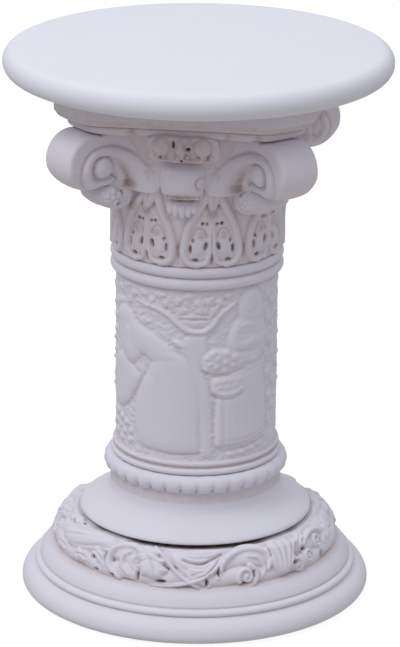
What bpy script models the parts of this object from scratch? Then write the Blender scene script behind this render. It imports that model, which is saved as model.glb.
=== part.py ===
"""Roman column pedestal, cast in two pieces: a round table top with its square abacus, and the column that carries it.

Metres, +Z up. The origin is the middle of the underside of the foot. A side of the capital faces -Y.
"""

import math

import bmesh
import bpy
from mathutils import Matrix, Vector

# Heights of the column's stretches, from the floor up.
FOOT_HEIGHT = 0.055
WREATH_HEIGHT = 0.0335
WREATH_GAP_DEPTH = 0.005
CAP_HEIGHT = 0.0445
ROPE_HEIGHT = 0.027
BEAD_HEIGHT = 0.010
DRUM_HEIGHT = 0.196
NECK_HEIGHT = 0.028
BELL_HEIGHT = 0.1532

# Radii of the column's stretches.
FOOT_RADIUS = 0.1886
FOOT_TOP_RADIUS = 0.1515
WREATH_RADIUS = 0.1480
WREATH_CREST_RADIUS = 0.1315
CAP_RADIUS = 0.1250
WAIST_RADIUS = 0.093
ROPE_RADIUS = 0.0988
BEAD_RADIUS = 0.0928
DRUM_RADIUS = 0.0850
NECK_RADIUS = 0.092
BELL_RADIUS = 0.0892
BELL_TOP_RADIUS = 0.114

# The round table top and the abacus under it.
TOP_RADIUS = 0.205
TOP_THICKNESS = 0.0277
ABACUS_HALF_WIDTH = 0.137
ABACUS_HEIGHT = 0.0298
ABACUS_CORNER_CUT = 0.034
ABACUS_STEP = 0.0095
ABACUS_STEP_HEIGHT = 0.008
SEAT_GAP = 0.0003

# The four corner volutes, the consoles under them, and the round pocket and eye on a volute's face.
VOLUTE_REACH = 0.149
VOLUTE_RADIUS = 0.031
VOLUTE_WIDTH = 0.050
VOLUTE_DROP = 0.044
POCKET_RADIUS = 0.021
POCKET_DEPTH = 0.004
EYE_RADIUS = 0.0105
CONSOLE_WIDTH = 0.036
CONSOLE_HEIGHT = 0.050

# Ornament in the middle of each side of the capital.
BOX_WIDTH = 0.064
BOX_HEIGHT = 0.028
BOX_FACE = 0.127
CUSHION_WIDTH = 0.064
CUSHION_HEIGHT = 0.032
CUSHION_FACE = 0.119
FRINGE_WIDTH = 0.034
FRINGE_HEIGHT = 0.020

# Relief: loops of the bell, rope strands, leaves of the wreath and figures of the drum.
LOOP_RELIEF = 0.0045
LOOP_BAND_DEG = 7.0
ROPE_STRANDS = 32
ROPE_RELIEF = 0.0014
ROPE_TWIST_DEG = 9.0
LEAF_RELIEF = 0.0085
WREATH_WAVE = 0.0020
FIGURE_RELIEF = 0.0062
HEAD_DEPTH = 0.017
STEEP_EDGE = 0.10
BRANCH_RADIUS = 0.0030
SIDES = 4
SEGMENTS = 64
OVERLAP = 0.003

WHITE = (0.80, 0.79, 0.80, 1.0)

WREATH_Z = FOOT_HEIGHT
CAP_Z = WREATH_Z + WREATH_HEIGHT - WREATH_GAP_DEPTH
ROPE_Z = CAP_Z + CAP_HEIGHT
BEAD_Z = ROPE_Z + ROPE_HEIGHT
DRUM_Z = BEAD_Z + BEAD_HEIGHT
NECK_Z = DRUM_Z + DRUM_HEIGHT
BELL_Z = NECK_Z + NECK_HEIGHT
SEAT_Z = BELL_Z + BELL_HEIGHT
ABACUS_Z = SEAT_Z + SEAT_GAP
TOP_Z = ABACUS_Z + ABACUS_HEIGHT
VOLUTE_Z = SEAT_Z - VOLUTE_DROP
SIDE_DEG = 360.0 / SIDES


def clear_scene():
    for item in list(bpy.data.objects):
        bpy.data.objects.remove(item, do_unlink=True)


def new_collection(name):
    collection = bpy.data.collections.new(name)
    bpy.context.scene.collection.children.link(collection)
    return collection


def cast_material(name):
    material = bpy.data.materials.new(name)
    material.use_nodes = True
    shader = material.node_tree.nodes["Principled BSDF"]
    shader.inputs["Base Color"].default_value = WHITE
    shader.inputs["Roughness"].default_value = 0.7
    shader.inputs["Metallic"].default_value = 0.0
    return material


def add_guide(name, bm, collection, placing=Matrix()):
    """A closed body that is only united with a piece or cut out of it, so it is not drawn itself."""
    bmesh.ops.recalc_face_normals(bm, faces=bm.faces)
    mesh = bpy.data.meshes.new(name)
    bm.to_mesh(mesh)
    bm.free()
    guide = bpy.data.objects.new(name, mesh)
    collection.objects.link(guide)
    guide.matrix_world = placing
    guide.hide_render = True
    guide.display_type = "WIRE"
    return guide


def turned_mesh(name, profile):
    """A profile of (radius, height) points from top to bottom, turned about the Z axis by a Screw modifier."""
    line = bpy.data.meshes.new(name)
    edges = [(i, i + 1) for i in range(len(profile) - 1)]
    line.from_pydata([(radius, 0.0, height) for radius, height in profile], edges, [])
    item = bpy.data.objects.new(name, line)
    bpy.context.scene.collection.objects.link(item)
    screw = item.modifiers.new("turn", "SCREW")
    screw.steps = SEGMENTS
    screw.render_steps = SEGMENTS
    screw.use_merge_vertices = True
    screw.merge_threshold = 0.0001
    bpy.context.view_layer.update()
    evaluated = item.evaluated_get(bpy.context.evaluated_depsgraph_get())
    mesh = bpy.data.meshes.new_from_object(evaluated)
    bpy.data.objects.remove(item, do_unlink=True)
    return mesh


def stretch(z, height, points):
    """Profile points of one stretch, given as (radius, share of its height)."""
    return [(radius, z + share * height) for radius, share in points]


def bell_profile():
    return stretch(BELL_Z, BELL_HEIGHT, [
        (BELL_RADIUS, 0.03),
        (BELL_RADIUS + 0.0015, 0.14),
        (BELL_RADIUS, 0.30),
        (BELL_RADIUS + 0.0025, 0.46),
        (BELL_TOP_RADIUS, 1.0),
    ])


def column_profile():
    """The column's outline from the seat of the abacus down to the floor."""
    foot_middle = (FOOT_RADIUS + FOOT_TOP_RADIUS) / 2
    cap_middle = (CAP_RADIUS + WAIST_RADIUS) / 2
    foot = [
        (0.0, 0.0),
        (FOOT_RADIUS - 0.0130, 0.0),
        (FOOT_RADIUS, 0.15),
        (FOOT_RADIUS - 0.0030, 0.33),
        (FOOT_RADIUS - 0.0168, 0.50),
        (FOOT_RADIUS - 0.0150, 0.56),
        (FOOT_RADIUS - 0.0215, 0.64),
        (foot_middle - 0.0100, 0.88),
        (FOOT_TOP_RADIUS, 0.99),
    ]
    wreath = [
        (WREATH_RADIUS, 0.14),
        (WREATH_RADIUS - 0.0040, 0.62),
        (WREATH_CREST_RADIUS, 0.97),
        (CAP_RADIUS - 0.0030, 0.80),
    ]
    cap = [
        (CAP_RADIUS, 0.14),
        (CAP_RADIUS - 0.0060, 0.30),
        (cap_middle - 0.0030, 0.47),
        (WAIST_RADIUS, 0.74),
    ]
    rope = [
        (ROPE_RADIUS - 0.0045, 0.12),
        (ROPE_RADIUS, 0.38),
        (ROPE_RADIUS, 0.66),
        (ROPE_RADIUS - 0.0045, 0.92),
    ]
    bead = [
        (BEAD_RADIUS, 0.30),
        (DRUM_RADIUS, 1.0),
    ]
    neck = [
        (DRUM_RADIUS, 0.0),
        (NECK_RADIUS, 0.20),
        (NECK_RADIUS - 0.0040, 0.50),
        (NECK_RADIUS, 0.78),
        (BELL_RADIUS - 0.0010, 1.0),
    ]
    rising = (
        stretch(0.0, FOOT_HEIGHT, foot)
        + stretch(WREATH_Z, WREATH_HEIGHT, wreath)
        + stretch(CAP_Z, CAP_HEIGHT, cap)
        + stretch(ROPE_Z, ROPE_HEIGHT, rope)
        + stretch(BEAD_Z, BEAD_HEIGHT, bead)
        + stretch(NECK_Z, NECK_HEIGHT, neck)
        + bell_profile()
        + [(0.0, SEAT_Z)]
    )
    return rising[::-1]


def on_wall(radius, angle_deg, height):
    angle = math.radians(angle_deg)
    return Vector((radius * math.sin(angle), -radius * math.cos(angle), height))


def bump(distance, width):
    """One at no distance, falling smoothly to nothing at the width."""
    if abs(distance) >= width:
        return 0.0
    return 0.5 + 0.5 * math.cos(math.pi * distance / width)


def loop_relief(angle_deg, height):
    """Bands of the teardrop loops on the bell. Two loops lean together into a heart, twice on each side."""
    share = (height - BELL_Z) / BELL_HEIGHT
    apex = 0.52
    if not 0.0 < share < apex:
        return 0.0
    heart_deg = SIDE_DEG / 2
    off = abs((angle_deg % heart_deg) - heart_deg / 2)
    spread = math.sqrt(1.0 - (share / apex) ** 2)
    outer = bump(off - 0.76 * heart_deg / 2 * spread, LOOP_BAND_DEG)
    inner = bump(off - 0.25 * heart_deg / 2 * spread ** 2, LOOP_BAND_DEG)
    bottom = 0.8 * bump(share - 0.03, 0.07) * bump(off - heart_deg / 4, heart_deg / 4)
    return LOOP_RELIEF * max(outer, inner, bottom)


def rope_turn(height):
    """Degrees that a point of the rope is carried round, from back at its lower edge to ahead at its upper one."""
    share = (height - ROPE_Z) / ROPE_HEIGHT
    return ROPE_TWIST_DEG * (share - 0.5)


def wreath_relief(angle_deg, height):
    """The wreath's ground between its leaves: shallow waves that run on from row to row."""
    share = (height - WREATH_Z) / WREATH_HEIGHT
    return WREATH_WAVE * math.cos(4 * SIDES * math.radians(angle_deg) + share * 3.0 * math.pi)


def carve(mesh):
    """Moves the points of the bell, the rope and the wreath by their relief."""
    for vertex in mesh.vertices:
        x, y, z = vertex.co
        radius = math.hypot(x, y)
        if radius < WAIST_RADIUS / 2:
            continue
        angle_deg = math.degrees(math.atan2(x, -y))
        if ROPE_Z < z < BEAD_Z:
            radius += ROPE_RELIEF * math.cos(ROPE_STRANDS * math.radians(angle_deg))
            angle_deg += rope_turn(z)
        elif BELL_Z < z:
            radius += loop_relief(angle_deg, z)
        elif WREATH_Z < z < WREATH_Z + WREATH_HEIGHT and radius > CAP_RADIUS + 0.001:
            radius += wreath_relief(angle_deg, z)
        vertex.co = on_wall(radius, angle_deg, z)


def wrap(bm, radius, angle_deg, height):
    """Bends a body, drawn flat with X along the wall, Y out of it and Z up, round a wall of that radius."""
    start = math.radians(angle_deg)
    for vertex in bm.verts:
        along, out, up = vertex.co
        turn = start + along / radius
        reach = radius + out
        vertex.co = Vector((reach * math.sin(turn), -reach * math.cos(turn), height + up))


def boss(name, collection, radius, angle_deg, height, size, tilt_deg=0.0, segments=5, rings=4):
    """A round or leaf-shaped swelling: a sphere stretched to (width, depth, height), tilted and laid on a wall."""
    bm = bmesh.new()
    bmesh.ops.create_uvsphere(bm, u_segments=segments, v_segments=rings, radius=0.5)
    bmesh.ops.scale(bm, vec=Vector(size), verts=bm.verts)
    turn = Matrix.Rotation(math.radians(tilt_deg), 3, "Y")
    bmesh.ops.rotate(bm, matrix=turn, verts=bm.verts)
    wrap(bm, radius, angle_deg, height)
    add_guide(name, bm, collection)


def raised(name, collection, radius, rows, relief, columns=4, fold=0.0):
    """A form in relief on a round wall, lofted through rows of (height, left edge, right edge in degrees).

    Its rim lies inside the wall and its middle stands out by the relief, with folds as ridges down it.
    """
    inner = [STEEP_EDGE + (1.0 - 2 * STEEP_EDGE) * step / (columns - 2) for step in range(columns - 1)]
    across = [0.0] + inner + [1.0]
    bm = bmesh.new()
    grids = []
    for front in (True, False):
        grid = []
        for number, (height, left, right) in enumerate(rows):
            line = []
            for column in range(columns + 1):
                rim = number in (0, len(rows) - 1) or column in (0, columns)
                out = -OVERLAP if rim else relief * (1.0 + fold * (-1) ** column)
                out = out if front else -3 * OVERLAP
                angle_deg = left + (right - left) * across[column]
                line.append(bm.verts.new(on_wall(radius + out, angle_deg, height)))
            grid.append(line)
        for lower, upper in zip(grid[:-1], grid[1:]):
            for j in range(columns):
                bm.faces.new((lower[j], lower[j + 1], upper[j + 1], upper[j]))
        grids.append(grid)
    front, back = grids
    rims = []
    for grid in (front, back):
        lefts = [line[0] for line in grid]
        rights = [line[-1] for line in grid]
        rims.append(grid[0] + rights[1:-1] + grid[-1][::-1] + lefts[1:-1][::-1])
    for i in range(len(rims[0])):
        j = (i + 1) % len(rims[0])
        bm.faces.new((rims[0][i], rims[0][j], rims[1][j], rims[1][i]))
    add_guide(name, bm, collection)


def branch(name, collection, points):
    """A four-sided bar along points in space: a bevelled curve, made a mesh with its caps welded."""
    curve = bpy.data.curves.new(name, "CURVE")
    curve.dimensions = "3D"
    curve.bevel_depth = BRANCH_RADIUS
    curve.bevel_resolution = 0
    curve.use_fill_caps = True
    line = curve.splines.new("POLY")
    line.points.add(len(points) - 1)
    for spot, point in zip(line.points, points):
        spot.co = (*point, 1.0)
    item = bpy.data.objects.new(name, curve)
    collection.objects.link(item)
    bpy.context.view_layer.update()
    evaluated = item.evaluated_get(bpy.context.evaluated_depsgraph_get())
    mesh = bpy.data.meshes.new_from_object(evaluated)
    bpy.data.objects.remove(item, do_unlink=True)
    bm = bmesh.new()
    bm.from_mesh(mesh)
    bmesh.ops.remove_doubles(bm, verts=bm.verts, dist=0.00001)
    add_guide(name, bm, collection)


def side_view_slab(outline, width):
    """An outline of (reach, height) points, thickened evenly to both sides of the XZ plane."""
    bm = bmesh.new()
    near = [bm.verts.new((reach, -width / 2, height)) for reach, height in outline]
    far = [bm.verts.new((reach, width / 2, height)) for reach, height in outline]
    bm.faces.new(near)
    bm.faces.new(far[::-1])
    for i in range(len(outline)):
        j = (i + 1) % len(outline)
        bm.faces.new((near[i], far[i], far[j], near[j]))
    return bm


def volute_outline():
    """A scroll seen from its side: out under the abacus, round the roll, and back below it to the bell."""
    inside = BELL_RADIUS * 0.75
    top = SEAT_Z - 0.0045
    outline = [(inside, top), (VOLUTE_REACH - 0.004, top)]
    first_deg, last_deg, steps = 85.0, -165.0, 13
    for step in range(steps + 1):
        angle = math.radians(first_deg + (last_deg - first_deg) * step / steps)
        outline.append((VOLUTE_REACH + VOLUTE_RADIUS * math.cos(angle), VOLUTE_Z + VOLUTE_RADIUS * math.sin(angle)))
    outline.append((inside, VOLUTE_Z - VOLUTE_RADIUS * 0.9))
    return outline


def console_outline():
    """The small scroll that rises from the bell and carries the roll of the volute."""
    inside = BELL_RADIUS * 0.78
    reach = VOLUTE_REACH - BELL_RADIUS
    low = VOLUTE_Z - VOLUTE_RADIUS * 0.2 - CONSOLE_HEIGHT
    return [
        (inside, low),
        (BELL_RADIUS + reach * 0.22, low + 0.0010),
        (BELL_RADIUS + reach * 0.60, low + CONSOLE_HEIGHT * 0.13),
        (BELL_RADIUS + reach * 0.85, low + CONSOLE_HEIGHT * 0.36),
        (BELL_RADIUS + reach * 0.80, low + CONSOLE_HEIGHT * 0.80),
        (BELL_RADIUS + reach * 0.50, low + CONSOLE_HEIGHT),
        (inside, low + CONSOLE_HEIGHT),
    ]


def add_volutes(ornament, cutters):
    """A volute on each corner with a pocket and an eye on both faces, and a console under it."""
    for number in range(SIDES):
        turn = Matrix.Rotation(math.radians(45.0 + SIDE_DEG * number), 4, "Z")
        volute = add_guide(f"volute_{number}", side_view_slab(volute_outline(), VOLUTE_WIDTH), ornament, turn)
        add_guide(f"console_{number}", side_view_slab(console_outline(), CONSOLE_WIDTH), ornament, turn)
        for side, label in ((-1, "left"), (1, "right")):
            face = side * VOLUTE_WIDTH / 2
            middle = Vector((VOLUTE_REACH - 0.011, face, VOLUTE_Z - 0.003))
            lay = turn @ Matrix.Translation(middle) @ Matrix.Rotation(math.pi / 2, 4, "X")
            bm = bmesh.new()
            bmesh.ops.create_cone(bm, cap_ends=True, segments=12, radius1=POCKET_RADIUS, radius2=POCKET_RADIUS,
                                  depth=2 * POCKET_DEPTH)
            cut = volute.modifiers.new("pocket", "BOOLEAN")
            cut.operation = "DIFFERENCE"
            cut.object = add_guide(f"pocket_{number}_{label}", bm, cutters, lay)
            bm = bmesh.new()
            bmesh.ops.create_uvsphere(bm, u_segments=6, v_segments=4, radius=EYE_RADIUS)
            sunk = Matrix.Translation((0.0, 0.0, side * (POCKET_DEPTH + 0.003)))
            add_guide(f"eye_{number}_{label}", bm, ornament, lay @ sunk)


def add_side_ornament(ornament):
    """On each side of the capital: a leaf box with two round leaves, a ribbed cushion, and a leaf fringe."""
    box_top = SEAT_Z - 0.004
    cushion_top = box_top - BOX_HEIGHT - 0.010
    fringe_top = cushion_top - CUSHION_HEIGHT - 0.008
    sunk = 0.020
    for number in range(SIDES):
        middle = number * SIDE_DEG

        def block(name, face, width, top, height, ends, columns, fold):
            half = math.degrees(width / 2 / face)
            rows = []
            for share, narrow in ends:
                rows.append((top - height * share, middle - half * narrow, middle + half * narrow))
            raised(f"{name}_{number}", ornament, face - sunk, rows, sunk, columns, fold)

        block("leaf_box", BOX_FACE, BOX_WIDTH, box_top, BOX_HEIGHT,
              ((1.0, 1.0), (0.92, 1.0), (0.08, 1.0), (0.0, 1.0)), 3, 0.0)
        block("cushion", CUSHION_FACE, CUSHION_WIDTH, cushion_top, CUSHION_HEIGHT,
              ((1.0, 0.75), (0.86, 0.85), (0.40, 1.0), (0.10, 0.95), (0.0, 0.9)), 5, 0.08)
        block("fringe", BELL_RADIUS + 0.0115, FRINGE_WIDTH, fringe_top, FRINGE_HEIGHT,
              ((1.0, 0.5), (0.8, 0.7), (0.1, 1.0), (0.0, 1.0)), 3, 0.0)
        for side in (-1, 1):
            boss(f"round_leaf_{number}_{side + 1}", ornament, BOX_FACE, middle + side * 7.5,
                 box_top - BOX_HEIGHT * 0.45, (0.023, 0.007, 0.021))


def add_wreath(ornament):
    """Acanthus round the foot of the cap: scrolls and fronds to both sides of each side's middle, fans between."""
    low = WREATH_Z + 0.32 * WREATH_HEIGHT
    for number in range(SIDES):
        middle = number * SIDE_DEG + 6.0
        for side, hand in ((-1, "left"), (1, "right")):
            label = f"{number}_{hand}"
            boss(f"scroll_{label}", ornament, WREATH_RADIUS - 0.004, middle + side * 23.0, low + 0.001,
                 (0.034, 2 * LEAF_RELIEF, 0.028), segments=6)
            boss(f"scroll_leaf_{label}", ornament, WREATH_CREST_RADIUS + 0.002, middle + side * 26.5, low + 0.016,
                 (0.050, 2.2 * LEAF_RELIEF, 0.018), tilt_deg=side * 8.0)
            boss(f"frond_{label}", ornament, WREATH_RADIUS - 0.006, middle + side * 8.5, low + 0.007,
                 (0.050, 1.8 * LEAF_RELIEF, 0.017), tilt_deg=side * -16.0)
            boss(f"spirallet_{label}", ornament, WREATH_RADIUS - 0.002, middle + side * 35.5, low - 0.002,
                 (0.024, 1.7 * LEAF_RELIEF, 0.021), rings=3)
        boss(f"fan_{number}", ornament, WREATH_RADIUS - 0.009, middle + 45.0, low + 0.009,
             (0.030, 2.2 * LEAF_RELIEF, 0.034))


def add_harvest(ornament, label, turn_deg):
    """A harvest scene on the drum: a woman stooping left of a forked tree, and one with a basket right of it."""

    def form(name, rows, relief=FIGURE_RELIEF, columns=4, fold=0.0):
        placed = [(DRUM_Z + share * DRUM_HEIGHT, turn_deg + left, turn_deg + right) for share, left, right in rows]
        raised(f"{name}_{label}", ornament, DRUM_RADIUS, placed, relief, columns, fold)

    def round_form(name, angle, share, size, tilt_deg=0.0, segments=5, rings=4):
        height = DRUM_Z + share * DRUM_HEIGHT
        boss(f"{name}_{label}", ornament, DRUM_RADIUS, turn_deg + angle, height, size, tilt_deg, segments, rings)

    form("stooping_skirt", ((0.03, -43.0, 14.0), (0.10, -42.0, 14.0), (0.30, -38.0, 12.0), (0.46, -33.0, 9.5),
                            (0.62, -24.0, 3.0), (0.72, -18.0, -8.0)), columns=6, fold=0.12)
    form("stooping_back", ((0.52, -35.0, -4.0), (0.58, -44.0, -3.0), (0.68, -47.0, -6.0), (0.76, -44.0, -16.0),
                           (0.80, -38.0, -24.0)), relief=FIGURE_RELIEF * 1.2)
    form("stooping_arm", ((0.20, -60.0, -50.0), (0.28, -64.0, -46.0), (0.42, -62.0, -42.0), (0.56, -54.0, -36.0),
                          (0.63, -48.0, -38.0)), columns=3)
    round_form("stooping_head", -52.5, 0.775, (0.021, HEAD_DEPTH, 0.019), tilt_deg=-30.0, segments=6)
    form("standing_skirt", ((0.07, 26.0, 66.0), (0.12, 26.0, 67.0), (0.33, 27.0, 65.0), (0.52, 30.0, 60.0),
                            (0.58, 33.0, 58.0)), columns=5, fold=0.12)
    form("standing_back", ((0.50, 33.0, 60.0), (0.58, 30.0, 62.0), (0.72, 31.0, 64.0), (0.83, 37.0, 60.0),
                           (0.87, 41.0, 55.0)), relief=FIGURE_RELIEF * 1.15)
    round_form("standing_head", 49.0, 0.935, (0.018, HEAD_DEPTH, 0.023), segments=6)
    form("fruit", ((0.53, 14.0, 42.0), (0.61, 13.0, 43.0), (0.68, 19.0, 38.0)), relief=FIGURE_RELIEF * 1.7, fold=0.12)
    form("basket", ((0.36, 24.0, 38.0), (0.40, 20.0, 42.0), (0.49, 17.5, 44.0), (0.53, 18.0, 43.0)),
         relief=FIGURE_RELIEF * 1.5, columns=3)
    form("trunk", ((0.05, 13.0, 25.0), (0.12, 14.0, 25.0), (0.40, 12.0, 20.0), (0.62, 4.0, 13.0), (0.80, 3.0, 13.0)),
         relief=FIGURE_RELIEF * 0.7, columns=3)
    boughs = (
        ((9.0, 0.76), (-3.0, 0.81), (-16.0, 0.875), (-34.0, 0.91)),
        ((8.0, 0.76), (18.0, 0.80), (27.0, 0.87), (36.0, 0.95)),
        ((73.0, 0.08), (76.0, 0.40), (73.0, 0.66), (78.0, 0.93)),
        ((-73.0, 0.08), (-71.0, 0.42), (-74.0, 0.70), (-70.0, 0.93)),
    )
    for number, bough in enumerate(boughs):
        points = [on_wall(DRUM_RADIUS + 0.001, turn_deg + angle, DRUM_Z + share * DRUM_HEIGHT) for angle, share in bough]
        branch(f"bough_{number}_{label}", ornament, points)
    leaves = (
        (-24.0, 0.965, 20.0), (-4.0, 0.935, -25.0), (15.0, 0.940, 15.0), (68.0, 0.93, 20.0), (84.0, 0.60, -25.0),
        (-80.0, 0.55, 30.0), (83.0, 0.22, 20.0),
    )
    for number, (angle, share, tilt) in enumerate(leaves):
        round_form(f"leaf_{number}", angle, share, (0.025, 0.010, 0.014), tilt, rings=3)


def join_ornament(name, mesh, ornament, out):
    """A piece: its turned mesh with every body of the ornament collection united to it, as one closed solid."""
    piece = bpy.data.objects.new(name, mesh)
    mesh.name = name
    mesh.materials.append(cast_material("cast white, " + name))
    union = piece.modifiers.new("ornament", "BOOLEAN")
    union.operation = "UNION"
    union.operand_type = "COLLECTION"
    union.collection = ornament
    union.solver = "EXACT"
    out.objects.link(piece)


def build_column(out):
    ornament = new_collection("column ornament")
    cutters = new_collection("column cutters")
    mesh = turned_mesh("column", column_profile())
    carve(mesh)
    add_volutes(ornament, cutters)
    add_side_ornament(ornament)
    add_wreath(ornament)
    add_harvest(ornament, "front", 0.0)
    add_harvest(ornament, "back", 180.0)
    join_ornament("column", mesh, ornament, out)


def top_profile():
    """The table top's outline: flat above and below, with a half-round edge."""
    half = TOP_THICKNESS / 2
    steps = 6
    edge = []
    for step in range(steps + 1):
        angle = math.pi / 2 - math.pi * step / steps
        edge.append((TOP_RADIUS - half + half * math.cos(angle), TOP_Z + half + half * math.sin(angle)))
    return [(0.0, TOP_Z + TOP_THICKNESS)] + edge + [(0.0, TOP_Z)]


def abacus_body():
    """A square plate with cut corners, whose lower edge slopes in to the seat."""
    levels = (
        (ABACUS_Z, ABACUS_STEP),
        (ABACUS_Z + ABACUS_STEP_HEIGHT * 0.35, ABACUS_STEP * 0.35),
        (ABACUS_Z + ABACUS_STEP_HEIGHT, 0.0),
        (TOP_Z + OVERLAP, 0.0),
    )
    bm = bmesh.new()
    rings = []
    for z, pull in levels:
        wide = ABACUS_HALF_WIDTH - pull
        flat = wide - ABACUS_CORNER_CUT + pull * 0.4
        outline = []
        for turn in range(4):
            turned = Matrix.Rotation(turn * math.pi / 2, 3, "Z")
            outline += [turned @ Vector((flat, -wide, z)), turned @ Vector((wide, -flat, z))]
        rings.append([bm.verts.new(point) for point in outline])
    for lower, upper in zip(rings[:-1], rings[1:]):
        for i in range(8):
            j = (i + 1) % 8
            bm.faces.new((lower[i], lower[j], upper[j], upper[i]))
    bm.faces.new(rings[0][::-1])
    bm.faces.new(rings[-1])
    return bm


def build_top(out):
    ornament = new_collection("top ornament")
    add_guide("abacus", abacus_body(), ornament)
    join_ornament("table_top", turned_mesh("table_top", top_profile()), ornament, out)


def main():
    clear_scene()
    out = new_collection("roman column")
    build_column(out)
    build_top(out)


main()
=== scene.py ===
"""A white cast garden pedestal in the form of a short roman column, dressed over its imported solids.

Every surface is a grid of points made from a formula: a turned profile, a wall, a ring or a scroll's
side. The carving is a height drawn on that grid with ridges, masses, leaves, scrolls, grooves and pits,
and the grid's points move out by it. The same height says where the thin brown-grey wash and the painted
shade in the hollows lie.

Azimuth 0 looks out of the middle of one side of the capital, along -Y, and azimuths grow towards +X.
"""

import math

import bpy
import numpy as np
from mathutils import Euler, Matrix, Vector


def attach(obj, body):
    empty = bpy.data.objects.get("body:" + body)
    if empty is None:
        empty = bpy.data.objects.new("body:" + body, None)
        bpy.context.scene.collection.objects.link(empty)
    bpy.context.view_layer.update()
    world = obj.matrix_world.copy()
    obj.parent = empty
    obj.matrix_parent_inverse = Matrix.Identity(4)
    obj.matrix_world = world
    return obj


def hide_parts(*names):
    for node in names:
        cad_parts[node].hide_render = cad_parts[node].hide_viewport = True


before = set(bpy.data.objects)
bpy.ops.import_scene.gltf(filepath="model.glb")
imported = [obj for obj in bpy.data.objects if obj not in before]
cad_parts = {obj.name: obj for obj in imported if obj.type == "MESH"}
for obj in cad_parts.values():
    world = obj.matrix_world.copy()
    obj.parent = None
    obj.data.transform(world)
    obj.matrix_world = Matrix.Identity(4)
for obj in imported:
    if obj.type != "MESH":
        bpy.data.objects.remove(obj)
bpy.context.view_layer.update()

bl_info = {
    "name": "Roman column pedestal",
    "version": (1, 0, 0),
    "blender": (4, 5, 0),
    "location": "View3D > Sidebar > Column",
    "description": "Builds a cast roman column pedestal with its relief, finish and stage",
    "category": "Add Mesh",
}

MM = 0.001
DEG = math.pi / 180
SIDES = 4


# Curves and distances


def flowing(points, steps=8):
    """Points of a smooth curve through the given ones: the slope at each is half the chord across it."""
    given = np.asarray(points, float)
    if len(given) < 3:
        return given
    around = np.vstack((2 * given[0] - given[1], given, 2 * given[-1] - given[-2]))
    a, b, c, d = (around[k : len(around) - 3 + k, None, :] for k in range(4))
    t = np.linspace(0, 1, steps, endpoint=False)[None, :, None]
    bend, twist = 2 * a - 5 * b + 4 * c - d, 3 * b - a - 3 * c + d
    curve = 0.5 * (2 * b + (c - a) * t + bend * t**2 + twist * t**3)
    return np.vstack((curve.reshape(-1, given.shape[1]), given[-1:]))


def evenly(points, count):
    """The given number of points, spaced evenly along a polyline."""
    gaps = np.linalg.norm(np.diff(points, axis=0), axis=1)
    run = np.concatenate(([0], np.cumsum(gaps)))
    wanted = np.linspace(0, run[-1], count)
    return np.stack([np.interp(wanted, run, points[:, k]) for k in range(points.shape[1])], axis=1)


def from_path(x, y, path):
    """How far each point is from a path, and how far along it, 0 to 1, its nearest point lies."""
    nearest = np.full(np.broadcast_shapes(x.shape, y.shape), np.inf)
    along = np.zeros(nearest.shape)
    lengths = np.linalg.norm(np.diff(path, axis=0), axis=1)
    run = np.concatenate(([0], np.cumsum(lengths)))
    for k, length in enumerate(lengths):
        if length <= 0:
            continue
        ax, ay = path[k]
        dx, dy = (path[k + 1] - path[k]) / length
        t = np.clip((x - ax) * dx + (y - ay) * dy, 0, length)
        gap = (x - ax - t * dx) ** 2 + (y - ay - t * dy) ** 2
        closer = gap < nearest
        nearest = np.where(closer, gap, nearest)
        along = np.where(closer, run[k] + t, along)
    return np.sqrt(nearest), along / run[-1]


def within(x, y, outline):
    """Which points lie inside a closed outline: a level line from them crosses it an odd number of times."""
    inside = np.zeros(np.broadcast_shapes(x.shape, y.shape), bool)
    for (ax, ay), (bx, by) in zip(outline, np.roll(outline, -1, axis=0)):
        if ay != by:
            inside ^= ((ay > y) != (by > y)) & (x < (bx - ax) * (y - ay) / (by - ay) + ax)
    return inside


def dome(share):
    """1 in the middle, falling to 0 at a share of 1 as a quarter circle does."""
    return np.sqrt(np.clip(1 - share**2, 0, 1))


def ease(value, low, high):
    """0 below low, 1 above high and a smooth S between them."""
    t = np.clip((value - low) / (high - low), 0, 1)
    return t * t * (3 - 2 * t)


def spiral(radii, start, turns, squash):
    """Points of a spiral from the first radius to the second, starting at an angle in degrees."""
    t = np.linspace(0, 1, max(12, int(abs(turns) * 24)))
    angle = (start + 360 * turns * t) * DEG
    reach = radii[0] + (radii[1] - radii[0]) * t
    return np.stack((reach * np.cos(angle), squash * reach * np.sin(angle)), axis=1)


# Relief drawn on a grid


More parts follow.
